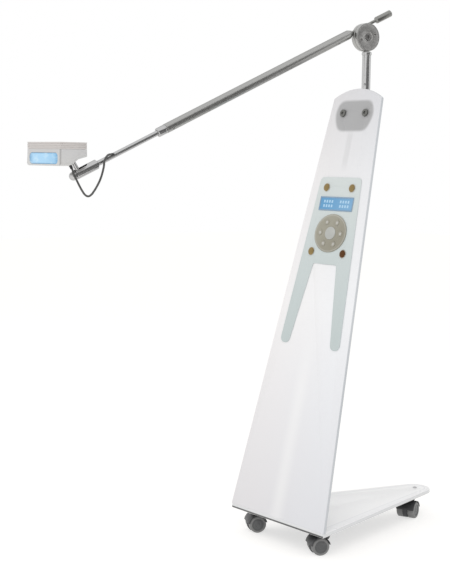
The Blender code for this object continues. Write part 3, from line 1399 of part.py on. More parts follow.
def head_block(inset, low, high, foot_rounding):
    """A block over the head's outline with its two lower side edges and its upright corners rounded."""
    bm = prism(head_outline(inset), low, high)
    if foot_rounding:
        foot = [e for e in bm.edges if all(abs(v.co.z - low) < HEAD_EDGE for v in e.verts)]
        sides = [e for e in foot if abs(e.verts[0].co.y - e.verts[1].co.y) > HEAD_DEPTH / 2]
        bmesh.ops.bevel(bm, geom=sides, offset=foot_rounding, segments=4, affect="EDGES", profile=0.5)
    upright = [e for e in bm.edges if abs(e.verts[0].co.z - e.verts[1].co.z) > (high - low) / 2]
    bmesh.ops.bevel(bm, geom=upright, offset=HEAD_CORNER, segments=2, affect="EDGES", profile=0.5)
    bmesh.ops.triangulate(bm, faces=bm.faces)
    return bm


def ramp_shape(raise_by):
    """What the head's underside leaves out behind its level floor: a ramp, then a gently rising tail."""
    floor = HEAD_FLOOR_ABOVE_BALL + raise_by
    knee = HEAD_FRONT_Y + HEAD_KNEE_FROM_FRONT
    ramp_end = knee + HEAD_RAMP_RUN
    tail_slope = HEAD_TAIL_RISE / (HEAD_BACK_Y - ramp_end)
    behind = HEAD_BACK_Y + OVERRUN
    side_view = [
        (knee - OVERRUN * HEAD_RAMP_RUN / HEAD_RAMP_RISE, floor - OVERRUN),
        (behind, floor - OVERRUN),
        (behind, floor + HEAD_RAMP_RISE + HEAD_TAIL_RISE + OVERRUN * tail_slope),
        (ramp_end, floor + HEAD_RAMP_RISE),
    ]
    bm = prism(side_view, -HEAD_FRONT_WIDTH, HEAD_FRONT_WIDTH)
    # The side view's axes become the head's y and z, and its length lies across the head
    return moved(bm, Matrix(((0, 0, 1, 0), (1, 0, 0, 0), (0, 1, 0, 0), (0, 0, 0, 1))))


def window_outline(gap):
    size = (2 * (WINDOW_HALF_WIDTH + gap), WINDOW_HEIGHT + 2 * gap)
    return rounded(rectangle(*size, (0.0, WINDOW_MIDDLE_Z)), WINDOW_CORNER + gap)


def facing_front(outline, back, face, edge=0.0):
    """A solid over an outline in the head's front view, between two distances in front of the ball."""
    return moved(prism(outline, back, face, edge), turn_x(90))


def make_case(finishes, head):
    """Lower shell of the light head, with the pad that turns on the stud."""
    body = head_block(0.0, HEAD_FLOOR_ABOVE_BALL, HEAD_SPLIT_Z - SEAT, HEAD_FOOT_ROUNDING)
    case = node("head_case", body, finishes["pearl"], head)
    cut(case, ramp_shape(0.0))
    floor = HEAD_FLOOR_ABOVE_BALL + HEAD_WALL
    hollow = head_block(HEAD_WALL, floor, HEAD_SPLIT_Z + OVERRUN, HEAD_FOOT_ROUNDING - HEAD_WALL)
    inner = helper("head_case_hollow", hollow, head)
    cut(inner, ramp_shape(HEAD_WALL))
    combine(case, inner, "DIFFERENCE")
    opening = window_outline(SEAT)
    cut(case, facing_front(opening, WINDOW_FACE - WINDOW_THICKNESS - OVERRUN, WINDOW_FACE + OVERRUN))
    pad_floor = TONGUE_END + SEAT
    pad_top = pad_floor + PAD_LENGTH
    pocket_top = pad_top + STUD_FLANGE_THICKNESS + 3 * SEAT
    add(case, pin(PAD_RADIUS, pad_floor, (pad_top + pocket_top) / 2, ROUND_SIDES, stud_matrix()))
    pocket = PAD_RADIUS + RUN
    bore = BALL_STUD_RADIUS + RUN
    profile = [(0.0, 0.0), (bore, 0.0), (bore, pad_top), (pocket, pad_top), (pocket, pocket_top)]
    profile.append((0.0, pocket_top))
    cut(case, turned(profile, ROUND_SIDES, stud_matrix() @ turn_z(90 / ROUND_SIDES)))


def make_cover(finishes, head):
    """Lid with grooves round its side, and a lip that stands down inside the case."""
    lid = head_block(0.0, HEAD_SPLIT_Z, HEAD_TOP_Z, 0.0)
    cover = node("head_cover", lid, finishes["cover"], head)
    lip_floor = HEAD_SPLIT_Z - COVER_LIP
    add(cover, head_block(HEAD_WALL + SEAT, lip_floor, HEAD_SPLIT_Z + HEAD_WALL, 0.0))
    cut(cover, head_block(2 * HEAD_WALL, lip_floor - OVERRUN, HEAD_TOP_Z - HEAD_WALL, 0.0))
    pitch = HEAD_COVER_HEIGHT / (COVER_GROOVES + 1)
    for i in range(COVER_GROOVES):
        z = HEAD_SPLIT_Z + pitch * (i + 1)
        ring = helper(f"head_cover_groove_{i}", block(
            (-HEAD_FRONT_WIDTH, HEAD_FRONT_Y - OVERRUN, z - COVER_GROOVE / 2),
            (HEAD_FRONT_WIDTH, HEAD_BACK_Y + OVERRUN, z + COVER_GROOVE / 2),
        ), head)
        cut(ring, head_block(COVER_GROOVE, z - COVER_GROOVE, z + COVER_GROOVE, 0.0))
        combine(cover, ring, "DIFFERENCE")


def make_led_board(finishes, head):
    """Lamp board that stands on the case's floor: light diodes in front, a finned cooler behind."""
    front = WINDOW_FACE - WINDOW_THICKNESS - LED_BOARD_BEHIND_WINDOW
    back = front - LED_BOARD_THICKNESS
    middle_z = HEAD_FLOOR_ABOVE_BALL + HEAD_WALL + SEAT + LED_BOARD_HEIGHT / 2
    middle = (0.0, middle_z)
    plate = facing_front(rectangle(LED_BOARD_WIDTH, LED_BOARD_HEIGHT, middle), back, front)
    board = node("led_board", plate, finishes["circuit"], head)
    inside = back + LED_BOARD_THICKNESS / 2
    pitch = LED_BOARD_WIDTH / LED_COUNT
    for i in range(LED_COUNT):
        u = (i - (LED_COUNT - 1) / 2) * pitch
        diode = rectangle(LED_SIZE, LED_SIZE, (u, WINDOW_MIDDLE_Z))
        add(board, facing_front(diode, inside, front + LED_HEIGHT))
    sink = rectangle(SINK_WIDTH, LED_BOARD_HEIGHT, middle)
    add(board, facing_front(sink, back - SINK_BASE, inside))
    spacing = (SINK_WIDTH - SINK_FIN_THICKNESS) / (SINK_FINS - 1)
    for i in range(SINK_FINS):
        u = (i - (SINK_FINS - 1) / 2) * spacing
        fin = rectangle(SINK_FIN_THICKNESS, LED_BOARD_HEIGHT, (u, middle_z))
        add(board, facing_front(fin, back - SINK_DEPTH, back - SINK_BASE / 2))


def make_head(finishes, head):
    make_case(finishes, head)
    make_cover(finishes, head)
    lens = facing_front(window_outline(0.0), WINDOW_FACE - WINDOW_THICKNESS, WINDOW_FACE, HEAD_EDGE / 2)
    node("light_window", lens, finishes["blue_light"], head)
    make_led_board(finishes, head)


# Cable

# The cable's own points in the rod's frame, along the rod from the ball's centre, chosen by hand:
# forward and down past the knuckle's side, round the loop and up to the light head
CABLE_ROUTE = (
    (0.0150, 0.0100, -0.0860),
    (0.0172, 0.0015, -0.0720),
    (0.0182, -0.0126, -0.0622),
    (0.0190, -0.0330, -0.0435),
    (0.0195, -0.0480, -0.0239),
    (0.0195, -0.0598, -0.0030),
    (0.0195, -0.0615, 0.0087),
    (0.0195, -0.0545, 0.0158),
    (0.0190, -0.0358, 0.0193),
    (0.0175, -0.0083, 0.0202),
    (0.0138, 0.0104, 0.0192),
)


def smooth_line(points, samples):
    """Even points on a smooth curve between straight first and last stretches, and the whole length."""
    route = [Vector(p) for p in points]
    dense = []
    for a, b, c, d in zip(route, route[1:], route[2:], route[3:]):
        for t in np.linspace(0.0, 1.0, 24, endpoint=False):
            bend = (2 * a - 5 * b + 4 * c - d) * t**2 + (3 * b - a - 3 * c + d) * t**3
            dense.append((2 * b + (c - a) * t + bend) / 2)
    dense.append(route[-2])
    lengths = [0.0]
    for first, second in zip(dense, dense[1:]):
        lengths.append(lengths[-1] + (second - first).length)
    even = np.linspace(0.0, lengths[-1], samples)
    columns = [np.interp(even, lengths, [p[axis] for p in dense]) for axis in range(3)]
    straight = (route[1] - route[0]).length + (route[-1] - route[-2]).length
    return [tuple(route[0])] + list(zip(*columns)) + [tuple(route[-1])], lengths[-1] + straight


def cable_points():
    """Route with its two ends, each square to its gland and a little away from it."""
    exit_frame = grommet_matrix()
    entry_frame = head_level_matrix() @ stud_matrix() @ shift(GLAND_SIDE, -GLAND_FORWARD)
    start = GROMMET_REACH + SEAT
    end = TONGUE_START - GLAND_LENGTH - SEAT - CABLE_END_ROOM
    lead = CABLE_DIAMETER * 0.6
    points = [exit_frame @ Vector((0, 0, start)), exit_frame @ Vector((0, 0, start + lead))]
    points += [Vector((x, y, BALL_S + s)) for x, y, s in CABLE_ROUTE]
    points += [entry_frame @ Vector((0, 0, end - lead)), entry_frame @ Vector((0, 0, end))]
    return points


def make_cable(finishes, rod):
    points, length = smooth_line(cable_points(), CABLE_SAMPLES)
    curve = bpy.data.curves.new("head_cable", "CURVE")
    curve.dimensions = "3D"
    curve.bevel_depth = CABLE_DIAMETER / 2
    curve.bevel_resolution = 2
    curve.use_fill_caps = True
    curve.materials.append(finishes["cable"])
    spline = curve.splines.new("POLY")
    spline.points.add(len(points) - 1)
    for point, place in zip(spline.points, points):
        point.co = (*place, 1.0)
    cable = bpy.data.objects.new("head_cable", curve)
    bpy.context.scene.collection.objects.link(cable)
    cable.parent = rod
    print(f"head cable length {length:.4f} m")


# Whole lamp

def stand_on_origin(lamp):
    """Moves the lamp so that the middle of its box, seen from above, is on the origin."""
    bpy.context.view_layer.update()
    graph = bpy.context.evaluated_depsgraph_get()
    places = []
    for obj in bpy.data.objects:
        if obj.type != "MESH" or obj.hide_render:
            continue
        evaluated = obj.evaluated_get(graph)
        mesh = evaluated.to_mesh()
        places += [evaluated.matrix_world @ vertex.co for vertex in mesh.vertices]
        evaluated.to_mesh_clear()
    places = np.array(places)
    middle = (places.min(axis=0) + places.max(axis=0)) / 2
    lamp.location = (-middle[0], -middle[1], 0.0)
    bpy.context.view_layer.update()


def main():
    clear_scene()
    finishes = make_materials()
    lamp = frame("lamp")
    make_base(finishes, lamp)
    make_casters(finishes, lamp)
    panel = frame("panel_frame", lamp, panel_matrix())
    make_panel(finishes, panel)
    make_foot_bar(finishes, panel)
    make_pole(finishes, lamp)
    make_clamp(finishes, panel)
    make_fascia(finishes, panel)
    make_studs(finishes, panel)
    make_display(finishes, panel)
    make_keypad(finishes, panel)
    make_board(finishes, panel)
    make_housing(finishes, panel)
    make_inlet(finishes, panel)
    make_switch(finishes, panel)
    make_supply(finishes, panel)
    swivel = frame("swivel_axis", lamp, shift(0.0, pole_y(), JOINT_Z) @ turn_z(ARM_TURN_DEG))
    make_joint(finishes, swivel)
    arm = frame("tilt_axis", swivel, arm_matrix())
    line = shift(ARM_DISC_X, ARM_LIFT)
    make_arm(finishes, arm, line)
    roll = frame("roll_axis", arm, line)
    make_tube_collar(finishes, roll)
    rod = frame("rod_axis", roll)
    make_rod(finishes, rod)
    make_knuckle(finishes, rod, knuckle_roll())
    make_cable(finishes, rod)
    tilt = frame("ball_axis", rod, head_level_matrix())
    make_ball_stud(finishes, tilt)
    head = frame("head_axis", tilt)
    make_head(finishes, head)
    stand_on_origin(lamp)


main()
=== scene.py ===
import math

import bpy
from mathutils import Matrix, Vector


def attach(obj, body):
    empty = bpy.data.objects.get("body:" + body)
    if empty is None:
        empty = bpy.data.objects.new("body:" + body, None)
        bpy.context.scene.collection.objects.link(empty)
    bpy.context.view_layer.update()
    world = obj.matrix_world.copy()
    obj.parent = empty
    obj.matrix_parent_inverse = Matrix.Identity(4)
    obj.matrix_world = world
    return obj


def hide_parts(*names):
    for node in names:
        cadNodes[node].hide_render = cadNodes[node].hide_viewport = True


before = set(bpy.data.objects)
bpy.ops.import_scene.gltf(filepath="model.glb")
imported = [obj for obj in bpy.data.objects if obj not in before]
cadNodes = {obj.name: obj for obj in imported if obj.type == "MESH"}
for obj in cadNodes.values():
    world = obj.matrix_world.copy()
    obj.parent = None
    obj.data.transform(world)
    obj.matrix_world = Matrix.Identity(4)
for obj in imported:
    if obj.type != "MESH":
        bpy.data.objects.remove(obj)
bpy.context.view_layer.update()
print("frame loaded:", len(cadNodes), "nodes")

scene = bpy.context.scene
scene.view_settings.view_transform = "Standard"


def turnX(degrees):
    return Matrix.Rotation(math.radians(degrees), 4, "X")


def turnY(degrees):
    return Matrix.Rotation(math.radians(degrees), 4, "Y")


def turnZ(degrees):
    return Matrix.Rotation(math.radians(degrees), 4, "Z")


def shift(x=0.0, y=0.0, z=0.0):
    return Matrix.Translation((x, y, z))


def onCircle(radius, degrees, centre=(0.0, 0.0)):
    angle = math.radians(degrees)
    return centre[0] + radius * math.cos(angle), centre[1] + radius * math.sin(angle)


# Where each group of pieces is drawn; z runs out of the panel, along the arm and up the stud

layout = {
    "panelFoot": (0.01574, 0.02337),
    "deckTop": 0.0793,
    "panelSlope": 76.5,
    "poleY": 0.319486,
    "jointZ": 1.447,
    "jointTurn": -10.0,
    "armDroop": 25.75,
    "armBeside": (-0.0148, 0.0285),
    "headAlong": 0.9701,
    "headTurn": 15.0,
    "studTilt": 34.0,
}

lampPlace = shift(*layout["panelFoot"])
panelPlace = lampPlace @ shift(z=layout["deckTop"]) @ turnX(layout["panelSlope"])
polePlace = lampPlace @ shift(y=layout["poleY"])
jointPlace = polePlace @ shift(z=layout["jointZ"]) @ turnZ(layout["jointTurn"])
armPlace = jointPlace @ turnX(90 + layout["armDroop"]) @ shift(*layout["armBeside"])
headPlace = armPlace @ shift(z=layout["headAlong"]) @ turnX(-90 - layout["armDroop"])
headPlace = headPlace @ turnZ(layout["headTurn"])
studPlace = headPlace @ turnX(layout["studTilt"])
studLine = (armPlace.inverted() @ studPlace).to_3x3() @ Vector((0, 0, 1))
knucklePlace = armPlace @ Matrix.Rotation(math.atan2(-studLine.x, studLine.y), 4, "Z")


# Camera

camera = {
    "place": (2.68764, -2.32453, 1.0983),
    "azimuth": 51.134,  # round from the lamp's front towards its right
    "pitch": 6.0865,  # down
    "roll": 0.7528,
    "lens": 78.572,
}


def makeCamera():
    bpy.ops.object.camera_add()
    made = bpy.context.object
    made.name = "photoCamera"
    turned = turnZ(camera["azimuth"]) @ turnX(90 - camera["pitch"]) @ turnZ(camera["roll"])
    made.matrix_world = shift(*camera["place"]) @ turned
    made.data.sensor_width = 36.0
    made.data.lens = camera["lens"]
    made.data.clip_end = 60.0
    scene.camera = made
    print("camera placed")


makeCamera()


# Material tools

def feed(socket, value):
    # value is another socket, a number, a vector or a colour
    if isinstance(value, bpy.types.NodeSocket):
        socket.id_data.links.new(value, socket)
    else:
        socket.default_value = (*value, 1.0) if socket.type == "RGBA" else value


def feedAll(node, sockets):
    for name, value in sockets.items():
        feed(node.inputs[name.replace("_", " ")], value)
    return node


def addNode(tree, kind, **sockets):
    return feedAll(tree.nodes.new("ShaderNode" + kind), sockets)


def treeOf(*values):
    return next(value.id_data for value in values if isinstance(value, bpy.types.NodeSocket))


def shaderOf(finish):
    return finish.node_tree.nodes["Principled BSDF"]


def newFinish(name, colour, roughness, metallic=0.0, **sockets):
    made = bpy.data.materials.new(name)
    made.use_nodes = True
    made.diffuse_color = (*colour, 1.0)
    feedAll(shaderOf(made), {"Base Color": colour, "Roughness": roughness, "Metallic": metallic, **sockets})
    return made


def maths(operation, *values):
    made = addNode(treeOf(*values), "Math")
    made.operation = operation
    for socket, value in zip(made.inputs, values):
        feed(socket, value)
    return made.outputs[0]


def plus(first, second):
    return maths("ADD", first, second)


def minus(first, second):
    return maths("SUBTRACT", first, second)


def times(first, second):
    return maths("MULTIPLY", first, second)


def absolute(value):
    return maths("ABSOLUTE", value)


def distance(x, y):
    return maths("SQRT", plus(times(x, x), times(y, y)))


def remap(value, low, high, toLow=0.0, toHigh=1.0, kind="SMOOTHSTEP"):
    limits = {"From Min": low, "From Max": high, "To Min": toLow, "To Max": toHigh}
    made = feedAll(addNode(value.id_data, "MapRange", Value=value), limits)
    made.interpolation_type = kind
    return made.outputs["Result"]


def blend(factor, first, second, kind="MIX"):
    # first and second are a colour or the socket that gives one
    made = addNode(treeOf(factor, first), "Mix")
    made.data_type = "RGBA"
    made.blend_type = kind
    for i, value in ((0, factor), (6, first), (7, second)):
        feed(made.inputs[i], value)
    return made.outputs[2]


def speckle(tone, value, most, colour, low=0.3, high=0.7):
    # colour shows through as the value climbs from low to high
    return blend(remap(value, low, high, 0.0, most), tone, colour)


def ramp(value, stops):
    made = addNode(value.id_data, "ValToRGB", Fac=value)
    stopList = made.color_ramp.elements
    while len(stopList) < len(stops):
        stopList.new(0.5)
    for stop, (place, colour) in zip(stopList, stops):
        stop.position = place
        stop.color = (*colour, 1.0)
    return made.outputs["Color"]


def localPoint(finish, place=None, stretch=None):
    # object coordinates as seen from a piece's own place
    tree = finish.node_tree
    point = addNode(tree, "TexCoord").outputs["Object"]
    if place is not None:
        back = place.inverted()
        point = addNode(tree, "Mapping", Location=back.to_translation(), Rotation=back.to_euler("XYZ"),
                        Vector=point).outputs["Vector"]
    if stretch is not None:
        point = addNode(tree, "Mapping", Scale=stretch, Vector=point).outputs["Vector"]
    return point


def parts(point):
    return tuple(addNode(point.id_data, "SeparateXYZ", Vector=point).outputs)


def noise(point, scale, detail=3.0, roughness=0.5):
    made = addNode(point.id_data, "TexNoise", Vector=point, Scale=scale, Detail=detail, Roughness=roughness)
    return made.outputs["Fac"]


def facing(finish, axis):
    # how squarely the surface faces an axis of the lamp, 0 to 1
    made = addNode(finish.node_tree, "VectorMath")
    made.operation = "DOT_PRODUCT"
    feed(made.inputs[0], addNode(finish.node_tree, "TexCoord").outputs["Normal"])
    feed(made.inputs[1], axis)
    return absolute(made.outputs["Value"])


def finishSurface(finish, colour, rough, height, strength=0.2, depth=0.0002):
    # rough is a socket, or its limits where it runs with the height; None leaves the shader's own value
    if isinstance(rough, tuple):
        rough = remap(height, 0.3, 0.7, *rough)
    bump = addNode(finish.node_tree, "Bump", Strength=strength, Distance=depth, Height=height)
    sockets = {"Base Color": colour, "Roughness": rough, "Normal": bump.outputs["Normal"]}
    feedAll(shaderOf(finish), {name: value for name, value in sockets.items() if value is not None})
    return finish


def mouldedPlastic(name, colour, roughness, grain, strength, wear=0.06):
    # fine moulded grain over slow tone changes
    made = newFinish(name, colour, roughness)
    point = localPoint(made)
    slow = noise(point, 26.0, 4.0)
    fine = noise(point, grain, 2.0)
    lighter = tuple(min(1.0, c * (1 + wear) + wear * 0.02) for c in colour)
    darker = tuple(c * (1 - wear) for c in colour)
    tone = blend(remap(slow, 0.3, 0.7), darker, lighter)
    rough = remap(fine, 0.25, 0.75, roughness - 0.06, roughness + 0.08)
    return finishSurface(made, tone, rough, fine, strength)


def drawnMetal(name, colour, roughness, place, stretch, spread=0.08, strength=0.06, wear=0.05, tint=1.0):
    # lines left by drawing, turning or brushing, stretched along the piece
    made = newFinish(name, colour, roughness, 1.0, Specular_Tint=(tint,) * 3)
    lines = noise(localPoint(made, place, stretch), 1.0, 5.0, 0.6)
    smudge = noise(localPoint(made), 34.0, 4.0)
    tone = blend(remap(lines, 0.25, 0.75), tuple(c * (1 - wear) for c in colour), colour)
    rough = plus(remap(lines, 0.2, 0.8, roughness - spread / 2, roughness + spread / 2),
                 remap(smudge, 0.35, 0.7, 0.0, spread / 2))
    return finishSurface(made, tone, rough, lines, strength, 0.0001)


# Mesh tools

def nothingSelected():
    if bpy.context.mode != "OBJECT":
        bpy.ops.object.mode_set(mode="OBJECT")
    bpy.ops.object.select_all(action="DESELECT")


def chosen(piece):
    nothingSelected()
    piece.select_set(True)
    bpy.context.view_layer.objects.active = piece


def editAll(piece):
    chosen(piece)
    bpy.ops.object.mode_set(mode="EDIT")
    bpy.ops.mesh.select_mode(type="VERT")
    bpy.ops.mesh.select_all(action="SELECT")


def smoothAll(piece):
    chosen(piece)
    bpy.ops.object.shade_smooth_by_angle(angle=math.radians(35))


def softEdges(piece, width):
    chosen(piece)
    bevel = piece.modifiers.new("softEdges", "BEVEL")
    bevel.width = width
    bevel.segments = 2
    bevel.limit_method = "ANGLE"
    bevel.angle_limit = math.radians(30)
    bpy.ops.object.modifier_apply(modifier=bevel.name)
    smoothAll(piece)


def placed(piece, place):
    chosen(piece)
    piece.matrix_world = place
    bpy.ops.object.transform_apply(location=True, rotation=True, scale=True)
    return piece


def drawLine(name, points):
    # a plane closed up to one point, then drawn on from place to place
    nothingSelected()
    bpy.ops.mesh.primitive_plane_add(size=0.01)
    line = bpy.context.object
    line.name = line.data.name = name
    editAll(line)
    bpy.ops.mesh.merge(type="CENTER")
    bpy.ops.transform.translate(value=points[0])
    for before, after in zip(points, points[1:]):
        step = [b - a for a, b in zip(before, after)]
        bpy.ops.mesh.extrude_vertices_move(TRANSFORM_OT_translate={"value": step})
    bpy.ops.mesh.select_all(action="SELECT")
    return line


def weld():
    bpy.ops.mesh.select_all(action="SELECT")
    bpy.ops.mesh.remove_doubles(threshold=0.000004)


def closeShell():
    bpy.ops.mesh.select_all(action="SELECT")
    bpy.ops.mesh.normals_make_consistent(inside=False)
    bpy.ops.object.mode_set(mode="OBJECT")


def spinPiece(name, section, place=None, sides=64, edge=0.0, scale=None):
    # section is (radius, height) from one end to the other, or round a closed wall
    piece = drawLine(name, [(radius, 0.0, height) for radius, height in section])
    bpy.ops.mesh.spin(steps=sides, angle=2 * math.pi, center=(0, 0, 0), axis=(0, 0, 1))
    weld()
    if scale is not None:
        bpy.ops.transform.resize(value=scale)
    closeShell()
    if edge:
        softEdges(piece, edge)
    else:
        smoothAll(piece)
    return placed(piece, place) if place is not None else piece


def platePiece(name, outline, low, high, place, edge=0.0):
    piece = drawLine(name, [(x, y, low) for x, y in outline])
    bpy.ops.mesh.edge_face_add()
    bpy.ops.mesh.extrude_region_move(TRANSFORM_OT_translate={"value": (0, 0, high - low)})
    closeShell()
    if edge:
        softEdges(piece, edge)
    return placed(piece, place)


def hexCutter(radius, low, high, place):
    return platePiece("socketCut", [onCircle(radius, 60 * i) for i in range(6)], low, high, place)


def discard(piece):
    bpy.data.objects.remove(piece, do_unlink=True)


def carve(piece, cutter):
    chosen(piece)
    cut = piece.modifiers.new("carve", "BOOLEAN")
    cut.operation = "DIFFERENCE"
    cut.solver = "EXACT"
    cut.object = cutter
    bpy.ops.object.modifier_apply(modifier=cut.name)
    discard(cutter)


def copyOf(piece, name, place):
    made = piece.copy()
    made.data = piece.data.copy()
    made.name = made.data.name = name
    scene.collection.objects.link(made)
    return placed(made, place)


def ringArc(radius, height, centre, start, end, count):
    # points of part of an oval for a turned section
    found = []
    for i in range(count + 1):
        x, y = onCircle(1.0, start + (end - start) * i / count)
        found.append((centre[0] + radius * x, centre[1] + height * y))
    return found


def dress(piece, finishes, body, *standsFor, slot):
    piece.data.materials.clear()
    for finish in (finishes if isinstance(finishes, tuple) else (finishes,)):
        piece.data.materials.append(finish)
    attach(piece, body)
    if standsFor:
        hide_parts(*standsFor)


def dressNode(nodeName, name, edge, finish, body, slot):
    # a copy of a solid with its loose triangles merged and its edges softened takes its place
    piece = bpy.data.objects.new(name, cadNodes[nodeName].data.copy())
    piece.data.name = name
    scene.collection.objects.link(piece)
    editAll(piece)
    bpy.ops.mesh.customdata_custom_splitnormals_clear()
    bpy.ops.mesh.remove_doubles(threshold=0.00001)
    bpy.ops.mesh.mark_sharp(clear=True)
    bpy.ops.mesh.dissolve_limited(angle_limit=math.radians(0.6))
    bpy.ops.object.mode_set(mode="OBJECT")
    softEdges(piece, edge)
    dress(piece, finish, body, nodeName, slot=slot)


def paintFaces(piece, place, wanted):
    # the second finish goes where wanted says so, from how far out and how high a face is in its place
    back = place.inverted()
    for face in piece.data.polygons:
        middle = back @ face.center
        if wanted(middle.xy.length, middle.z):
            face.material_index = 1


def refinish(nodeName, finish):
    for nodeSlot in cadNodes[nodeName].material_slots:
        nodeSlot.material = finish


# Cable from the rod to the light head

cable = {
    "diameter": 0.0056,
    "length": 0.2281,
    "colour": (0.082, 0.082, 0.08),
    "exit": (-0.12898, -0.44206, 1.10086),
    "route": [
        (-0.12885, -0.44234, 1.10088), (-0.12746, -0.44538, 1.10113), (-0.12559, -0.45549, 1.09897),
        (-0.12484, -0.46292, 1.09175), (-0.12457, -0.46754, 1.08231), (-0.12416, -0.46893, 1.07189),
        (-0.12415, -0.47122, 1.06161), (-0.12435, -0.47409, 1.05147), (-0.12466, -0.47744, 1.04148),
        (-0.12514, -0.48162, 1.03182), (-0.12579, -0.48652, 1.02251), (-0.12664, -0.49188, 1.01348),
        (-0.12768, -0.49769, 1.00474), (-0.12886, -0.50429, 0.99663), (-0.13045, -0.5133, 0.99189),
        (-0.13207, -0.52236, 0.99625), (-0.13341, -0.52867, 1.00457), (-0.13476, -0.53404, 1.01354),
        (-0.13604, -0.53888, 1.02282), (-0.13749, -0.54341, 1.03222), (-0.13958, -0.54756, 1.04168),
        (-0.14253, -0.55089, 1.05123), (-0.14767, -0.55047, 1.06022), (-0.14751, -0.55235, 1.063),
    ],
}


def makeCable():
    line = bpy.data.curves.new("headCable", "CURVE")
    line.dimensions = "3D"
    line.bevel_depth = cable["diameter"] / 2
    line.bevel_resolution = 5
    line.use_fill_caps = True
    line.resolution_u = 5
    run = line.splines.new("BEZIER")
    run.bezier_points.add(len(cable["route"]) - 1)
    for point, place in zip(run.bezier_points, cable["route"]):
        point.co = place
        point.handle_left_type = point.handle_right_type = "AUTO"
    piece = bpy.data.objects.new("headCable", line)
    scene.collection.objects.link(piece)
    jacket = mouldedPlastic("cableJacket", cable["colour"], 0.42, 2200.0, 0.12, 0.12)
    dress(piece, jacket, "rod", "head_cable", slot="cable")
    print("cable made")


makeCable()


# Studio: a pale floor, soft lamps, and dark cards that only metal reflects

studio = {
    "worldLight": 0.78,
    "floorSize": 24.0,
    "floorColour": (0.5, 0.488, 0.47),
    "floorGlow": 0.62,
    "floorBounce": 0.42,
    "lamps": (  # place, size and power
        ("keyLamp", (2.4, -2.6, 3.6), 2.6, 46.0),
        ("sideLamp", (-3.2, -1.6, 2.4), 2.4, 14.0),
    ),
    "lampsLookAt": (0.0, 0.0, 0.75),
    "cards": (  # place, turn about X and Z, width and height
        ("darkWall", (3.0, -0.25, 1.65), (90.0, 90.0), (5.4, 3.1)),
        ("darkFloorStrip", (1.95, 1.2, 0.004), (0.0, 0.0), (2.1, 3.2)),
    ),
    "cardTone": 0.22,
}


def shownToEye(finish):
    # 1 for camera, glossy and transmission rays
    path = addNode(finish.node_tree, "LightPath").outputs
    most = maths("MAXIMUM", path["Is Camera Ray"], path["Is Glossy Ray"])
    return maths("MAXIMUM", most, path["Is Transmission Ray"])


def stageSheet(name, size, place, tip, turn, finish):
    nothingSelected()
    turned = (math.radians(tip), 0, math.radians(turn))
    bpy.ops.mesh.primitive_plane_add(size=1.0, location=place, rotation=turned)
    sheet = bpy.context.object
    sheet.name = sheet.data.name = name
    sheet.scale = (*size, 1.0)
    bpy.ops.object.transform_apply(location=True, rotation=True, scale=True)
    sheet.data.materials.append(finish)
    return sheet


def makeStudio():
    world = bpy.data.worlds.new("paleStudio")
    scene.world = world
    world.use_nodes = True
    dim = studio["worldLight"]
    level = maths("MULTIPLY_ADD", shownToEye(world), 1.0 - dim, dim)
    feedAll(world.node_tree.nodes["Background"], {"Color": (1.0, 1.0, 1.0), "Strength": level})

    paper = newFinish("floorPaper", studio["floorColour"], 0.9, Specular_IOR_Level=0.0)
    bounce = studio["floorBounce"]
    glow = maths("MULTIPLY_ADD", shownToEye(paper), studio["floorGlow"] - bounce, bounce)
    feedAll(shaderOf(paper), {"Emission Color": (1.0, 1.0, 1.0), "Emission Strength": glow})
    finishSurface(paper, None, None, noise(localPoint(paper), 900.0, 2.0), 0.03)
    stageSheet("studioFloor", (studio["floorSize"],) * 2, (0, 0, 0), 0.0, 0.0, paper)

    for name, place, size, power in studio["lamps"]:
        bpy.ops.object.light_add(type="AREA", location=place)
        lamp = bpy.context.object
        lamp.name = name
        lamp.data.size = size
        lamp.data.energy = power
        lamp.visible_glossy = False
        aim = Vector(studio["lampsLookAt"]) - Vector(place)
        lamp.rotation_euler = aim.to_track_quat("-Z", "Y").to_euler()

    felt = newFinish("darkFelt", (studio["cardTone"],) * 3, 0.95)
    finishSurface(felt, None, None, noise(localPoint(felt), 300.0), 0.1)
    for name, place, (tip, turn), size in studio["cards"]:
        card = stageSheet(name, size, place, tip, turn, felt)
        for ray in ("camera", "diffuse", "transmission", "volume_scatter", "shadow"):
            setattr(card, "visible_" + ray, False)
    print("studio made")


makeStudio()


# Base: a frosted clear sheet over the dark plate that the casters hang from

base = {
    "frost": (0.9, 0.9, 0.905),
    "overPlate": (0.93, 0.93, 0.93),
    # upright faces: the bluish tint of the clear cut edge, and painted shade
    "edge": (0.62, 0.64, 0.66),
    # painted shade on the lower part of the front edge
    "shadowedEdgeFoot": (0.05, 0.05, 0.052),
    "shadowedEdgeFootZ": (0.0743, 0.0718),  # from here the front edge darkens downwards
    "plateLine": (0.66, 0.67, 0.685),
    "plateCoat": (0.03, 0.031, 0.034),
    "tipY": 0.577,
    "plateTipRadius": 0.03,
    "plateSide": (0.1635, 0.02),  # front corner of the plate below
    "screwHead": (0.0065, 0.0022),
    "screwShank": (0.0028, 0.0616),  # radius and foot
    "screwSeat": 0.0796,
    "screwSlot": (0.0042, 0.0006),  # half length and half width
    "zinc": (0.58, 0.58, 0.59),
}


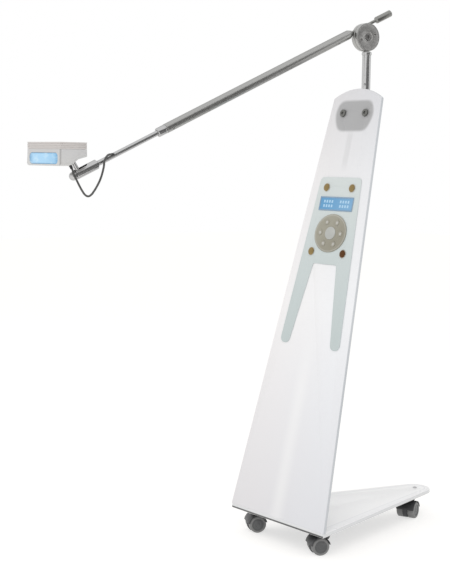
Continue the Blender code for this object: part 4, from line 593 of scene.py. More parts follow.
def frostedBaseFinish():
    made = newFinish("frostedBase", base["frost"], 0.34)
    point = localPoint(made, lampPlace)
    x, y, z = parts(point)
    side = absolute(x)
    # how far a point lies outside the plate below, along its side and round its tip
    cornerX, cornerY = base["plateSide"]
    reach = math.hypot(cornerX, base["tipY"] - cornerY)
    lean = math.atan2(cornerX, base["tipY"] - cornerY) - math.asin(base["plateTipRadius"] / reach)
    normalX, normalY = math.cos(lean), math.sin(lean)
    offset = cornerX * normalX + cornerY * normalY
    line = maths("MULTIPLY_ADD", side, normalX, maths("MULTIPLY_ADD", y, normalY, -offset))
    past = minus(y, base["tipY"])
    rounded = minus(distance(side, past), base["plateTipRadius"])
    atTip = remap(past, 0.006, 0.01)
    outside = plus(times(rounded, atTip), times(line, minus(1.0, atTip)))

    tone = blend(remap(outside, -0.002, 0.002), base["overPlate"], base["frost"])
    rim = remap(absolute(outside), 0.0022, 0.0004)
    tone = blend(times(rim, 0.55), tone, base["plateLine"])
    frost = noise(point, 700.0)
    tone = speckle(tone, frost, 0.05, (0.7, 0.71, 0.72))
    # painted shade on the upright cut faces, with the tint and gloss of the clear edge
    upright = remap(facing(made, (0, 0, 1)), 0.75, 0.35)
    tone = blend(times(upright, 0.5), tone, base["edge"])
    # painted shade: the lower part of the front edge darkens to near black
    foot = times(upright, remap(z, *base["shadowedEdgeFootZ"]))
    foot = times(foot, remap(facing(made, (0, -1, 0)), 0.4, 0.8))  # the front edge only
    tone = blend(times(foot, 0.95), tone, base["shadowedEdgeFoot"])
    rough = minus(remap(frost, 0.2, 0.8, 0.3, 0.42), times(upright, 0.18))
    return finishSurface(made, tone, rough, frost, 0.05, 0.0001)


def makeBase():
    dressNode("base_sheet", "baseSheet", 0.0004, frostedBaseFinish(), "stand", "acrylic")
    coat = mouldedPlastic("blackPowderCoat", base["plateCoat"], 0.48, 900.0, 0.35, 0.15)
    dressNode("base_plate", "casterPlate", 0.0006, coat, "stand", "steel_plate")

    radius, height = base["screwHead"]
    shank, foot = base["screwShank"]
    seat = base["screwSeat"]
    head = [(0.0, foot), (shank, foot), (shank, seat), (radius, seat), (radius, seat + height * 0.35)]
    head += ringArc(radius * 0.75, height * 0.5, (radius * 0.25, seat + height * 0.45), 0, 90, 5)
    head.append((0.0, seat + height * 0.98))
    place = lampPlace @ shift(y=base["tipY"])
    screw = spinPiece("deckScrew", head, place, 40)
    x, y = base["screwSlot"]
    for turn in (20, 110):
        carve(screw, platePiece("slotCut", [(-x, -y), (x, -y), (x, y), (-x, y)],
                                seat + height * 0.55, seat + height + 0.01, place @ turnZ(turn)))
    smoothAll(screw)
    zinc = drawnMetal("zincScrew", base["zinc"], 0.34, None, (900, 900, 900))
    dress(screw, zinc, "stand", "deck_screw", slot="zinc")
    print("base made")
    return zinc


zincFinish = makeBase()


# Twin-wheel casters

caster = {
    "places": {
        "caster_front_right": (0.135, 0.07, 155.0),
        "caster_front_left": (-0.135, 0.07, 155.0),
        "caster_rear": (0.015, 0.543, 202.0),
    },
    "trail": 0.022,
    "wheelRadius": 0.025,
    "wheelWidth": 0.021,
    "innerFace": 0.0074,
    "innerRounding": 0.001,
    "outerRounding": 0.0042,
    "axleHole": (0.0033, 0.0133),  # radius and depth
    "hubRadius": 0.0178,
    "hubSteps": (  # radius, and depth under the outer face
        (0.0184, 0.0), (0.0178, 0.0009), (0.0173, 0.0018), (0.0152, 0.0017), (0.0148, 0.0021),
        (0.0142, 0.0021), (0.0138, 0.0016), (0.0074, 0.0011), (0.007, 0.0015), (0.0062, 0.0015),
        (0.0058, 0.001), (0.0, 0.0008),
    ),
    "tyre": (0.215, 0.216, 0.215),
    "hub": (0.115, 0.118, 0.12),
    "hood": (0.042, 0.043, 0.046),
}


def wheelSection():
    radius, face = caster["wheelRadius"], caster["wheelWidth"]
    inner, outer = caster["innerRounding"], caster["outerRounding"]
    hole, depth = caster["axleHole"]
    section = [(hole, 0.0), (radius - inner, 0.0)]
    section += ringArc(inner, inner, (radius - inner, inner), -90, 0, 3)
    section += ringArc(outer, outer, (radius - outer, face - outer), 0, 90, 6)
    section += [(far, face - under) for far, under in caster["hubSteps"]]
    return section + [(0.0, depth), (hole, depth), (hole, 0.0)]


def makeCasters():
    tyre = mouldedPlastic("greyTyre", caster["tyre"], 0.52, 1600.0, 0.1, 0.08)
    hub = mouldedPlastic("wheelHub", caster["hub"], 0.44, 1600.0, 0.14, 0.1)
    hood = mouldedPlastic("casterHood", caster["hood"], 0.4, 1500.0, 0.14, 0.12)
    pattern = spinPiece("wheelPattern", wheelSection(), None, 72, 0.00015)
    deep, edge = caster["wheelWidth"] * 0.8, caster["hubRadius"] + 0.0002
    for label, (x, y, turn) in caster["places"].items():
        axle = lampPlace @ shift(x, y) @ turnZ(turn) @ shift(0.0, caster["trail"], caster["wheelRadius"])
        for side, sign in (("right", 1), ("left", -1)):
            place = axle @ shift(sign * caster["innerFace"]) @ turnY(90 * sign)
            wheel = copyOf(pattern, f"{label}_{side}Wheel", place)
            dress(wheel, (tyre, hub), f"{label}_wheel_{side}", f"{label}_wheel_{side}", slot="caster_tread")
            paintFaces(wheel, place, lambda far, up: far < edge and up > deep)
        dressNode(f"{label}_hood", f"{label}_cover", 0.0005, hood, label, "caster_plastic")
        refinish(f"{label}_axle", zincFinish)
    discard(pattern)
    print("casters made")


makeCasters()


# Front panel of frosted sheet; the clamp behind it shows through as a soft grey, and the pole behind it as a
# painted highlight low down and a painted shadow under the clamp

panel = {
    "length": 1.255,
    # painted shading along the sheet: lighter in the middle, darker at the foot and the top
    "paintedShadeTones": [  # share of the length from the foot, and colour
        (0.0, (0.8, 0.8, 0.815)),
        (0.25, (0.86, 0.86, 0.87)),
        (0.5, (0.93, 0.93, 0.93)),
        (0.8, (0.85, 0.848, 0.85)),
        (1.0, (0.72, 0.718, 0.728)),
    ],
    # painted light: the left half warm and lit, the right half cool and shaded
    "warmLitLeftTint": (0.985, 0.97, 0.975),
    "coolShadedRightTint": (0.965, 0.975, 1.0),
    # side faces: painted shade, with the bluish tint of a clear cut edge
    "edge": (0.5, 0.53, 0.56),
    # painted highlight and painted shadow where the pole stands behind the sheet
    "paintedPoleHighlight": 0.45,
    "paintedPoleShadow": (0.66, 0.66, 0.67),
    "clamp": (0.4, 0.4, 0.405),
    "clampCorners": ((0.058, 1.128), (0.0815, 1.18), (0.064, 1.22)),  # half width and height
    "clampRounding": 0.03,
    "footAngle": (0.55, 0.55, 0.56),
}


def edgeLine(first, second):
    # the line through two corners of the clamp's right side, whose outside is positive
    dx, dy = second[0] - first[0], second[1] - first[1]
    length = math.hypot(dx, dy)
    return dy / length, -dx / length, -(first[0] * dy - first[1] * dx) / length


def clampShade(side, v):
    foot, widest, top = panel["clampCorners"]
    outside = maths("MAXIMUM", minus(v, top[1]), minus(foot[1], v))
    for first, second in ((foot, widest), (widest, top)):
        nx, ny, offset = edgeLine(first, second)
        line = maths("MULTIPLY_ADD", side, nx, maths("MULTIPLY_ADD", v, ny, offset))
        outside = maths("SMOOTH_MAX", outside, line, panel["clampRounding"])
    return remap(outside, 0.0045, -0.006)


def frostedPanelFinish():
    made = newFinish("frostedPanel", (0.85, 0.85, 0.86), 0.38)
    point = localPoint(made, panelPlace)
    u, v, _ = parts(point)
    side = absolute(u)
    # painted shading up the sheet
    tone = ramp(maths("DIVIDE", v, panel["length"]), panel["paintedShadeTones"])
    # painted light: warm on the left half, cool shade on the right half
    tint = blend(remap(u, -0.16, 0.16), panel["warmLitLeftTint"], panel["coolShadedRightTint"])
    tone = blend(1.0, tone, tint, "MULTIPLY")
    # painted highlight low down where the pole stands behind the sheet, and painted shadow of the pole just
    # under the clamp
    low = times(remap(side, 0.04, 0.0), remap(v, 0.6, 0.35, 0.0, panel["paintedPoleHighlight"]))
    tone = blend(low, tone, (0.95, 0.95, 0.95))
    high = times(remap(v, 1.0, 1.05), remap(v, 1.135, 1.115, 0.0, 0.55))
    high = times(remap(side, 0.015, 0.006), high)
    tone = blend(high, tone, panel["paintedPoleShadow"])
    tone = blend(clampShade(side, v), tone, panel["clamp"])
    frost = noise(point, 700.0)
    tone = speckle(tone, noise(point, 6.0), 0.03, (0.78, 0.79, 0.8))
    tone = speckle(tone, frost, 0.04, (0.72, 0.73, 0.74))
    # painted shade on the sheet's side faces, with a glossier clear cut edge
    across = panelPlace.to_3x3() @ Vector((0, 0, 1))
    rim = remap(facing(made, across), 0.85, 0.45)
    tone = blend(times(rim, 0.7), tone, panel["edge"])
    rough = minus(remap(frost, 0.2, 0.8, 0.34, 0.46), times(rim, 0.2))
    return finishSurface(made, tone, rough, frost, 0.05, 0.0001)


def makePanel():
    dressNode("front_panel", "frostedFrontPanel", 0.0004, frostedPanelFinish(), "stand", "acrylic")
    alloy = drawnMetal("extrudedAngle", panel["footAngle"], 0.36, panelPlace, (3.0, 500.0, 500.0))
    dressNode("foot_bar", "footAngle", 0.0003, alloy, "stand", "aluminium")
    print("panel made")


makePanel()


# Pole, its collar and the clamp that holds the panel

pole = {
    "radius": 0.0125,
    "lean": 13.5,
    "foot": (0.0, 0.025652, 0.0705),
    "bendZ": 1.305052,
    "bendRadius": 0.09,
    "top": 1.404,
    "colour": (0.58, 0.58, 0.58),
    "collar": (0.0128, 0.0142, 1.3957, 1.4037),  # inner and outer radius, foot and top
}


def makePole():
    nothingSelected()
    lean = math.radians(pole["lean"])
    bpy.ops.mesh.primitive_circle_add(vertices=64, radius=pole["radius"], fill_type="NOTHING",
                                      location=pole["foot"], rotation=(-lean, 0, 0))
    piece = bpy.context.object
    piece.name = piece.data.name = "bentPole"
    bpy.ops.object.transform_apply(location=True, rotation=True, scale=True)
    centre = Vector((0.0, layout["poleY"] - pole["bendRadius"], pole["bendZ"]))
    start = centre + Vector((0, math.cos(lean), -math.sin(lean))) * pole["bendRadius"]
    editAll(piece)
    bpy.ops.mesh.extrude_edges_move(TRANSFORM_OT_translate={"value": start - Vector(pole["foot"])})
    bpy.ops.mesh.spin(steps=10, angle=-lean, center=centre, axis=(1, 0, 0))
    bpy.ops.mesh.extrude_edges_move(TRANSFORM_OT_translate={"value": (0, 0, pole["top"] - centre.z)})
    weld()
    bpy.ops.mesh.fill_holes(sides=0)
    closeShell()
    softEdges(piece, 0.0003)
    placed(piece, lampPlace)
    chrome = drawnMetal("polishedPole", pole["colour"], 0.2, panelPlace, (260.0, 5.0, 260.0),
                        0.06, 0.008, 0.03, 0.6)
    dress(piece, chrome, "stand", "pole", slot="chrome")

    bore, radius, low, high = pole["collar"]
    ring = [(bore, low), (radius - 0.0006, low), (radius, low + 0.0006), (radius, high - 0.0014)]
    ring += [(radius - 0.0004, high - 0.001), (radius, high - 0.0006), (radius - 0.0005, high)]
    ring += [(bore, high), (bore, low)]
    dress(spinPiece("poleCollar", ring, polePlace, 64, 0.0001), chrome, "stand", "pole_collar", slot="chrome")
    print("pole made")


makePole()

def boltSection(bolt):
    # shank, head with a rounded rim, and a shallow dish round the socket
    (shank, foot), (radius, height), seat = bolt["shank"], bolt["head"], bolt["seat"]
    (rounding, start, count), (mouth, floor, deep), top = bolt["rim"], bolt["dish"], seat + height
    section = [(0.0, foot), (shank, foot), (shank, seat), (radius, seat), (radius, top - rounding)]
    section += ringArc(rounding, rounding, (radius - rounding, top - rounding), start, 90, count)
    return section + [(mouth, top), (floor, top - deep), (0.0, top - deep)]


clamp = {
    "grey": (0.33, 0.33, 0.34),
    "boltPlaces": {"clamp_bolt_left": (-0.045, 1.182), "clamp_bolt_right": (0.045, 1.182)},
    "shank": (0.004, -0.0144),  # radius and foot
    "seat": 0.0003,
    "head": (0.0108, 0.005),  # radius and height
    "rim": (0.0014, 15, 4),  # radius of the rounding, its first angle and its steps
    "dish": (0.0066, 0.006, 0.0005),  # radius at its mouth and floor, and depth
    "socket": 0.0046,
    "boltColour": (0.2, 0.2, 0.19),
}


def makeClamp():
    grey = mouldedPlastic("clampPaint", clamp["grey"], 0.46, 1000.0, 0.18)
    dressNode("clamp_plate", "poleClamp", 0.0007, grey, "stand", "clamp_grey")
    dark = drawnMetal("clampBolt", clamp["boltColour"], 0.42, None, (700, 700, 700))
    pattern = spinPiece("boltPattern", boltSection(clamp), None, 48)
    top = clamp["seat"] + clamp["head"][1]
    carve(pattern, hexCutter(clamp["socket"], top - 0.003, top + 0.01, Matrix.Identity(4)))
    smoothAll(pattern)
    for nodeName, (u, v) in clamp["boltPlaces"].items():
        bolt = copyOf(pattern, nodeName + "Head", panelPlace @ shift(u, v) @ turnZ(u * 400))
        dress(bolt, dark, "stand", nodeName, slot="zinc")
    discard(pattern)
    print("clamp made")


makeClamp()


# Control fascia with its studs, display and keypad

fascia = {
    # painted light: the fascia darker at its foot and lighter towards its top
    "foot": (0.53, 0.6, 0.6),
    "middle": (0.59, 0.65, 0.648),
    "top": (0.64, 0.688, 0.68),
    "footV": 0.497,
    "topV": 0.992,
}

stud = {
    "places": {
        "stud_top_left": (-0.052, 0.961), "stud_top_right": (0.052, 0.961),
        "stud_foot_left": (-0.065, 0.771), "stud_foot_right": (0.065, 0.771),
    },
    "shank": (0.0035, -0.0218),  # radius and foot
    "seat": 0.0021,
    "washer": (0.0125, 0.0012),
    "dome": (0.011, 0.0034),
    "brass": (0.33, 0.24, 0.105),
    "darkBrass": (0.135, 0.062, 0.027),
    "washerColour": (0.62, 0.58, 0.51),
}


def makeFascia():
    made = newFinish("fasciaPaint", fascia["middle"], 0.4)
    point = localPoint(made, panelPlace)
    _, v, _ = parts(point)
    # painted light: darker at the foot, lighter towards the top
    tone = ramp(remap(v, fascia["footV"], fascia["topV"], kind="LINEAR"),
                [(0.0, fascia["foot"]), (0.6, fascia["middle"]), (1.0, fascia["top"])])
    flake = noise(point, 2600.0, 1.0)
    tone = speckle(tone, flake, 0.1, (0.8, 0.82, 0.82), 0.35, 0.65)
    finishSurface(made, tone, (0.34, 0.46), flake, 0.06, 0.0001)
    dressNode("control_fascia", "controlFascia", 0.0003, made, "stand", "fascia")
    print("fascia made")


makeFascia()


def makeStuds():
    shank, foot = stud["shank"]
    seat = stud["seat"]
    wide, thick = stud["washer"]
    radius, height = stud["dome"]
    top = seat + thick
    section = [(0.0, foot), (shank, foot), (shank, seat), (wide, seat), (wide, seat + thick * 0.55)]
    section += [(wide - 0.0005, top), (radius + 0.0006, top), (radius, seat + thick * 0.9)]
    section += ringArc(radius, height, (0.0, top), 0, 90, 9)
    pattern = spinPiece("studPattern", section, None, 48)
    washer = drawnMetal("studWasher", stud["washerColour"], 0.46, None, (900, 900, 900))
    for nodeName, (u, v) in stud["places"].items():
        colour = stud["darkBrass"] if nodeName == "stud_foot_right" else stud["brass"]
        brass = drawnMetal("brass_" + nodeName, colour, 0.33, None, (800, 800, 800), 0.12, 0.05, 0.2)
        place = panelPlace @ shift(u, v)
        made = copyOf(pattern, nodeName + "Cap", place)
        dress(made, (brass, washer), "stand", nodeName, slot="brass")
        paintFaces(made, place, lambda far, up: far > radius + 0.0002)
    discard(pattern)
    print("studs made")


makeStuds()

display = {
    "centreV": 0.9135,
    "halfSize": (0.065, 0.017),
    "cellPitch": (1 / 95, 1 / 76),
    "cellsStart": 0.012,  # the cells stand in a left and a right group
    "cellsEnd": (0.0543, 0.0123),
    "bezel": (0.2, 0.33, 0.48),
    "glass": (0.095, 0.31, 0.56),
    "cell": (0.48, 0.71, 0.88),
    "glow": 0.04,
}


def makeDisplay():
    made = newFinish("displayGlass", display["glass"], 0.16, Coat_Weight=0.5)
    point = localPoint(made, panelPlace)
    u, v, _ = parts(point)
    up = minus(v, display["centreV"])
    across, high = absolute(u), absolute(up)
    halfU, halfV = display["halfSize"]
    inside = times(remap(across, halfU, halfU - 0.0008), remap(high, halfV, halfV - 0.0008))
    # two rows of empty character cells
    pitchU, pitchV = display["cellPitch"]
    endU, endV = display["cellsEnd"]
    startU = display["cellsStart"]
    cellU = maths("FRACT", maths("MULTIPLY_ADD", across, 1 / pitchU, 1.0 - startU / pitchU % 1.0))
    cellU = absolute(minus(cellU, 0.5))
    cellV = maths("FRACT", maths("MULTIPLY_ADD", up, 1 / pitchV, 40.0))
    cellV = absolute(minus(cellV, 0.5))
    cells = times(remap(cellU, 0.36, 0.26), remap(cellV, 0.34, 0.26))
    view = times(remap(across, endU + 0.0002, endU - 0.0003), remap(high, endV + 0.0002, endV - 0.0003))
    view = times(view, remap(across, startU - 0.0002, startU + 0.0002))
    tone = blend(times(times(cells, view), 0.75), display["glass"], display["cell"])
    # painted reflection: the glass lighter towards its right
    tone = speckle(tone, u, 0.18, (0.36, 0.6, 0.8), -0.07, 0.07)
    tone = blend(inside, display["bezel"], tone)
    finishSurface(made, tone, remap(inside, 0.0, 1.0, 0.42, 0.14), noise(point, 1500.0), 0.03, 0.0001)
    glow = times(inside, display["glow"])
    feedAll(shaderOf(made), {"Emission Color": tone, "Emission Strength": glow})
    dressNode("display", "displayModule", 0.0002, made, "stand", "screen")
    print("display made")


makeDisplay()

keypad = {
    "centreV": 0.8275,
    "halfSize": (0.0645, 0.056),
    "ring": (0.0415, 0.0358),
    "keyRadius": 0.0078,
    "centreKey": (0.0205, 0.0186),
    "keyFoot": (0.0025, -0.0087),  # radius and foot, which clears the board when the key is pressed
    "flange": (0.0012, 0.0005, 0.0017),  # width, foot and top
    "keyTop": 0.0046,
    "plate": (0.3, 0.283, 0.222),
    # painted light on the plate's upper left
    "plateLitTone": (0.345, 0.33, 0.265),
    "key": (0.345, 0.33, 0.275),
    "mark": (0.62, 0.62, 0.6),
    "centreColour": (0.47, 0.48, 0.455),
}


def keySection(radius):
    (stem, foot), (flange, low, high), top = keypad["keyFoot"], keypad["flange"], keypad["keyTop"]
    rounding, dish = 0.0006, 0.0001
    section = [(0.0, foot), (stem, foot), (stem, low), (radius + flange, low), (radius + flange, high)]
    section += [(radius, high), (radius, top - rounding)]
    section += ringArc(rounding, rounding, (radius - rounding, top - rounding), 20, 90, 3)
    return section + [(radius * share, top - dish * (1 - share)) for share in (0.62, 0.42, 0.22, 0.0)]


def makeKeypad():
    made = newFinish("keypadFilm", keypad["plate"], 0.46)
    point = localPoint(made, panelPlace)
    u, v, _ = parts(point)
    up = minus(v, keypad["centreV"])
    # painted light: the plate lighter towards its upper left
    tone = blend(remap(minus(up, u), -0.05, 0.05), keypad["plate"], keypad["plateLitTone"])
    halfU, halfV = keypad["halfSize"]
    far = distance(maths("DIVIDE", u, halfU), maths("DIVIDE", up, halfV))
    border = times(remap(far, 0.9, 0.93), remap(far, 0.97, 0.945))
    tone = blend(times(border, 0.35), tone, keypad["mark"])
    grain = noise(point, 1800.0, 2.0)
    finishSurface(made, tone, (0.4, 0.52), grain, 0.12)
    dressNode("keypad_plate", "keypadPlate", 0.0002, made, "stand", "keypad")

    capFinish = mouldedPlastic("keyCap", keypad["key"], 0.44, 1800.0, 0.12)
    markFinish = mouldedPlastic("keyMark", keypad["mark"], 0.5, 1800.0, 0.05)
    centreFinish = mouldedPlastic("centreKeyCap", keypad["centreColour"], 0.42, 1800.0, 0.12)
    radius = keypad["keyRadius"]
    pattern = spinPiece("keyPattern", keySection(radius), None, 40)
    for i in range(6):
        x, y = onCircle(1.0, 60 * i)
        place = panelPlace @ shift(keypad["ring"][0] * x, keypad["centreV"] + keypad["ring"][1] * y)
        nodeName = f"key_{i + 1}"
        key = copyOf(pattern, nodeName + "Cap", place)
        dress(key, (capFinish, markFinish), nodeName, nodeName, slot="key")
        paintFaces(key, place, lambda far, up: radius * 0.22 < far < radius * 0.42 and up > 0.004)
    discard(pattern)
    wide, tall = keypad["centreKey"]
    centre = spinPiece("key_centreCap", keySection(wide), panelPlace @ shift(y=keypad["centreV"]), 56,
                       scale=(1.0, tall / wide, 1.0))
    dress(centre, centreFinish, "key_centre", "key_centre", slot="key")
    print("keypad made")


makeKeypad()


# Housing, inlet and switch behind the panel, and the circuit boards

housing = {
    "shell": (0.7, 0.7, 0.71),
    "black": (0.026, 0.026, 0.028),
    "board": (0.04, 0.17, 0.08),
    "boardLight": (0.05, 0.21, 0.1),
    "tracks": (0.3, 0.26, 0.12),
}


def makeHousing():
    shell = mouldedPlastic("housingShell", housing["shell"], 0.44, 1100.0, 0.22, 0.03)
    dressNode("rear_housing", "rearHousing", 0.0006, shell, "stand", "housing")
    black = mouldedPlastic("blackMoulding", housing["black"], 0.4, 1500.0, 0.2, 0.12)
    dressNode("mains_inlet", "mainsInlet", 0.0003, black, "stand", "black_plastic")
    dressNode("power_switch", "powerRocker", 0.0004, black, "switch_rocker", "black_plastic")

    made = newFinish("circuitBoard", housing["board"], 0.38)
    point = localPoint(made, panelPlace)
    bricks = addNode(made.node_tree, "TexBrick", Vector=point, Scale=180.0, Mortar_Size=0.05,
                     Color1=housing["board"], Color2=housing["boardLight"], Mortar=housing["tracks"])
    grain = noise(point, 900.0)
    finishSurface(made, bricks.outputs["Color"], (0.32, 0.46), grain, 0.1)
    for nodeName in ("control_board", "power_supply", "led_board"):
        refinish(nodeName, made)
    print("housing made")
    return black


blackMoulding = makeHousing()


# Friction joint on the pole

joint = {
    "discRadius": 0.04,
    "front": (0.012, 0.0063),  # thickness and bore
    "rear": (0.014, 0.0064),
    "rearX": -0.0148,
    "groove": ((-0.0042, 0.0), (-0.0046, -0.0003), (-0.005, 0.0)),  # from the rim and the face
    "recess": (0.0108, 0.0055),
    "recessSteps": (  # from the recess's wall and the face
        (0.004, 0.0), (0.0034, -0.0009), (0.0022, -0.0009),
        (0.0014, -0.0002), (0.0004, -0.0002), (0.0, -0.0007),
    ),
    "shoulder": (
        (0.0, -0.0427), (0.0112, -0.0427), (0.0112, -0.0419), (0.0102, -0.0412), (0.0054, -0.0403),
        (0.0054, -0.028), (0.0, -0.028),
    ),
    "pinHole": (0.003, 0.025, 0.004),  # radius, from the middle, and depth
    "pinTurn": 20.0,
    "face": (0.56, 0.555, 0.545),
    "edge": (0.42, 0.42, 0.41),
    "fibre": (0.1, 0.085, 0.065),
}

pivotBolt = {
    "shank": (0.006, -0.0285),
    "seat": 0.0008,
    "head": (0.0105, 0.0045),
    "rim": (0.0008, 20, 3),
    "dish": (0.0064, 0.0059, 0.0004),
    "socket": (0.0048, 0.0034),
    "colour": (0.34, 0.335, 0.33),
}


def turnedFace(name, colour, place):
    # rings left by the lathe, seen round the disc's own axis
    made = newFinish(name, colour, 0.36, 1.0, Anisotropic=0.3)
    point = localPoint(made, place)
    x, y, _ = parts(point)
    rings = maths("SINE", times(distance(x, y), 9000.0))
    wave = maths("MULTIPLY_ADD", rings, 0.5, 0.5)
    smudge = noise(point, 60.0, 4.0)
    tone = blend(remap(smudge, 0.3, 0.7), tuple(c * 0.9 for c in colour), colour)
    rough = plus(remap(smudge, 0.3, 0.7, 0.32, 0.42), times(wave, 0.04))
    return finishSurface(made, tone, rough, wave, 0.01, 0.00003)


def discSection(thickness, bore, recess=None):
    radius, half, edge = joint["discRadius"], thickness / 2, 0.0012
    section = [(bore, -half), (radius - edge, -half), (radius, edge - half), (radius, half - edge)]
    section.append((radius - edge, half))
    section += [(radius + dx, half + dy) for dx, dy in joint["groove"]]
    if recess:
        wide, deep = recess
        section += [(wide + dx, half + dy) for dx, dy in joint["recessSteps"]]
        section += [(wide, half - deep), (bore, half - deep)]
    else:
        section.append((bore, half))
    return section + [(bore, -half)]


def makeJoint():
    frontPlace = jointPlace @ turnY(90)
    rearPlace = jointPlace @ shift(joint["rearX"]) @ turnY(90)
    face = turnedFace("jointDiscFace", joint["face"], frontPlace)
    rim = drawnMetal("jointDiscRim", joint["edge"], 0.28, frontPlace, (60.0, 60.0, 2400.0), 0.08, 0.012)
    edge = joint["discRadius"] - 0.0012
    half = joint["front"][0] / 2
    front = spinPiece("frontDisc", discSection(*joint["front"], joint["recess"]), frontPlace, 96, 0.0001)
    radius, fromMiddle, depth = joint["pinHole"]
    low, high = half - depth, half + 0.01
    for sign in (1, -1):
        place = jointPlace @ turnX(joint["pinTurn"]) @ shift(y=sign * fromMiddle) @ turnY(90)
        carve(front, spinPiece("pinCut", [(0.0, low), (radius, low), (radius, high), (0.0, high)], place, 32))
    smoothAll(front)
    dress(front, (face, rim), "pole_head", "pole_disc", slot="aluminium")
    paintFaces(front, frontPlace, lambda far, up: far > edge)
    neck = spinPiece("jointShoulder", joint["shoulder"], jointPlace, 56, 0.0002)
    dress(neck, rim, "pole_head", slot="aluminium")
    rear = spinPiece("armDisc", discSection(*joint["rear"]), rearPlace, 96, 0.0001)
    dress(rear, (face, rim), "arm", "arm_disc", slot="aluminium")
    paintFaces(rear, rearPlace, lambda far, up: far > edge)

    bolt = spinPiece("pivotBolt", boltSection(pivotBolt), frontPlace, 48)
    radius, depth = pivotBolt["socket"]
    top = pivotBolt["seat"] + pivotBolt["head"][1]
    carve(bolt, hexCutter(radius, top - depth, top + 0.01, frontPlace @ turnZ(14)))
    smoothAll(bolt)
    darkZinc = drawnMetal("pivotBoltZinc", pivotBolt["colour"], 0.38, None, (700, 700, 700))
    dress(bolt, darkZinc, "pole_head", "pivot_bolt", slot="zinc")
    dressNode("pivot_nut", "pivotNut", 0.0005, zincFinish, "pole_head", "zinc")
    refinish("friction_washer", mouldedPlastic("frictionFibre", joint["fibre"], 0.75, 700.0, 0.5, 0.2))
    print("joint made")


makeJoint()


# Arm: tube, counter handle, collar and rod; the outlines are radius and place along the arm

arm = {
    "tube": (0.0132, 0.0116, 0.048, 0.694),  # outer and inner radius, start and end
    "plug": (0.0049, 0.007, 0.0078),  # bore, tip and root of the tube's end by the joint
    "collar": (  # from the tube's end
        (0.0076, -0.02), (0.0112, -0.02), (0.0112, 0.0), (0.0124, 0.0), (0.0128, 0.0005), (0.0128, 0.003),
        (0.0122, 0.0034), (0.0122, 0.0044), (0.0126, 0.0048), (0.0126, 0.0238), (0.012, 0.0258),
        (0.0106, 0.027), (0.0076, 0.027), (0.0076, -0.02),
    ),
    "handle": (
        (0.0, -0.1134), (0.0089, -0.1134), (0.0097, -0.1127), (0.0097, -0.06), (0.0093, -0.0592),
        (0.0046, -0.055), (0.0046, 0.0645), (0.0, 0.0645),
    ),
    "rod": (
        (0.0, 0.424), (0.0108, 0.424), (0.0112, 0.4244), (0.0112, 0.4436), (0.0108, 0.444), (0.0072, 0.444),
        (0.0072, 0.9253), (0.0, 0.9253),
    ),
    "grommet": (
        (0.0, 0.005), (0.0042, 0.005), (0.0042, 0.0096), (0.0038, 0.01), (0.0038, 0.0106), (0.0041, 0.011),
        (0.004, 0.0122), (0.0036, 0.0126), (0.0036, 0.0132), (0.0039, 0.0136), (0.0038, 0.0149),
        (0.0036, 0.0152), (0.0, 0.0152),
    ),
    "grommetAt": (0.8585, -53.0, -45.0),  # along the arm, round it, and lean
    "tubeScrews": ((0.093, -46.0), (0.675, -38.0)),  # along the tube, and round it
    "poleScrew": (1.312, -60.0),  # height, and round the pole
    "screw": (0.003, 0.0018, 0.0016),  # radius, and the socket's at its mouth and floor
    "satin": (0.45, 0.45, 0.44),
    "knurled": (0.33, 0.33, 0.315),
    "chrome": (0.54, 0.54, 0.54),
}


def setScrew(name, place, surface, body):
    # a small black socket screw sunk flush in a round wall
    radius, mouth, floor = arm["screw"]
    foot, top, deep = surface - 0.0012, surface + 0.00005, surface - 0.0006
    section = [(0.0, foot), (radius, foot), (radius, top), (mouth, top), (floor, deep), (0.0, deep)]
    dress(spinPiece(name, section, place @ turnY(90), 24), blackMoulding, body, slot="black_plastic")


def makeArm():
    satin = drawnMetal("satinTube", arm["satin"], 0.32, armPlace, (420.0, 420.0, 5.0), 0.08, 0.012, 0.06, 0.6)
    radius, inner, start, end = arm["tube"]
    bore, tip, root = arm["plug"]
    wall = [(bore, start - 0.013), (tip, start - 0.013), (root, start - 0.0118)]
    wall += [(radius - 0.0003, start - 0.0006), (radius, start + 0.0006), (radius, end - 0.0005)]
    wall += [(radius - 0.0005, end), (inner, end), (inner, start + 0.022), (bore, start + 0.022)]
    wall.append((bore, start - 0.013))
    dress(spinPiece("armTube", wall, armPlace, 72, 0.0001), satin, "arm", "arm_tube", slot="aluminium")
    for i, (along, turn) in enumerate(arm["tubeScrews"]):
        setScrew(f"tubeScrew{i + 1}", armPlace @ shift(z=along) @ turnZ(turn), radius, "arm")
    up, turn = arm["poleScrew"]
    setScrew("poleScrew", polePlace @ shift(z=up) @ turnZ(turn), pole["radius"], "stand")

    knurled = drawnMetal("counterHandle", arm["knurled"], 0.34, armPlace, (300.0,) * 3, 0.14, 0.12, 0.12)
    handle = spinPiece("counterHandleBar", arm["handle"], armPlace, 56, 0.0002)
    dress(handle, knurled, "arm", "counter_handle", slot="aluminium")

    chrome = drawnMetal("polishedArmParts", arm["chrome"], 0.12, armPlace, (300.0, 300.0, 8.0),
                        0.06, 0.008, 0.04, 0.6)
    collar = spinPiece("tubeCollar", arm["collar"], armPlace @ shift(z=end + 0.0003), 64, 0.00015)
    dress(collar, chrome, "end_collar", "tube_collar", slot="chrome")
    dress(spinPiece("slidingRod", arm["rod"], armPlace, 56, 0.0001), chrome, "rod", "rod", slot="chrome")
    along, turn, lean = arm["grommetAt"]
    place = armPlace @ shift(z=along) @ turnZ(turn) @ turnX(lean)
    grommet = spinPiece("rodGrommet", arm["grommet"], place, 32)
    dress(grommet, blackMoulding, "rod", "rod_grommet", slot="black_plastic")
    print("arm made")
    return chrome


armChrome = makeArm()

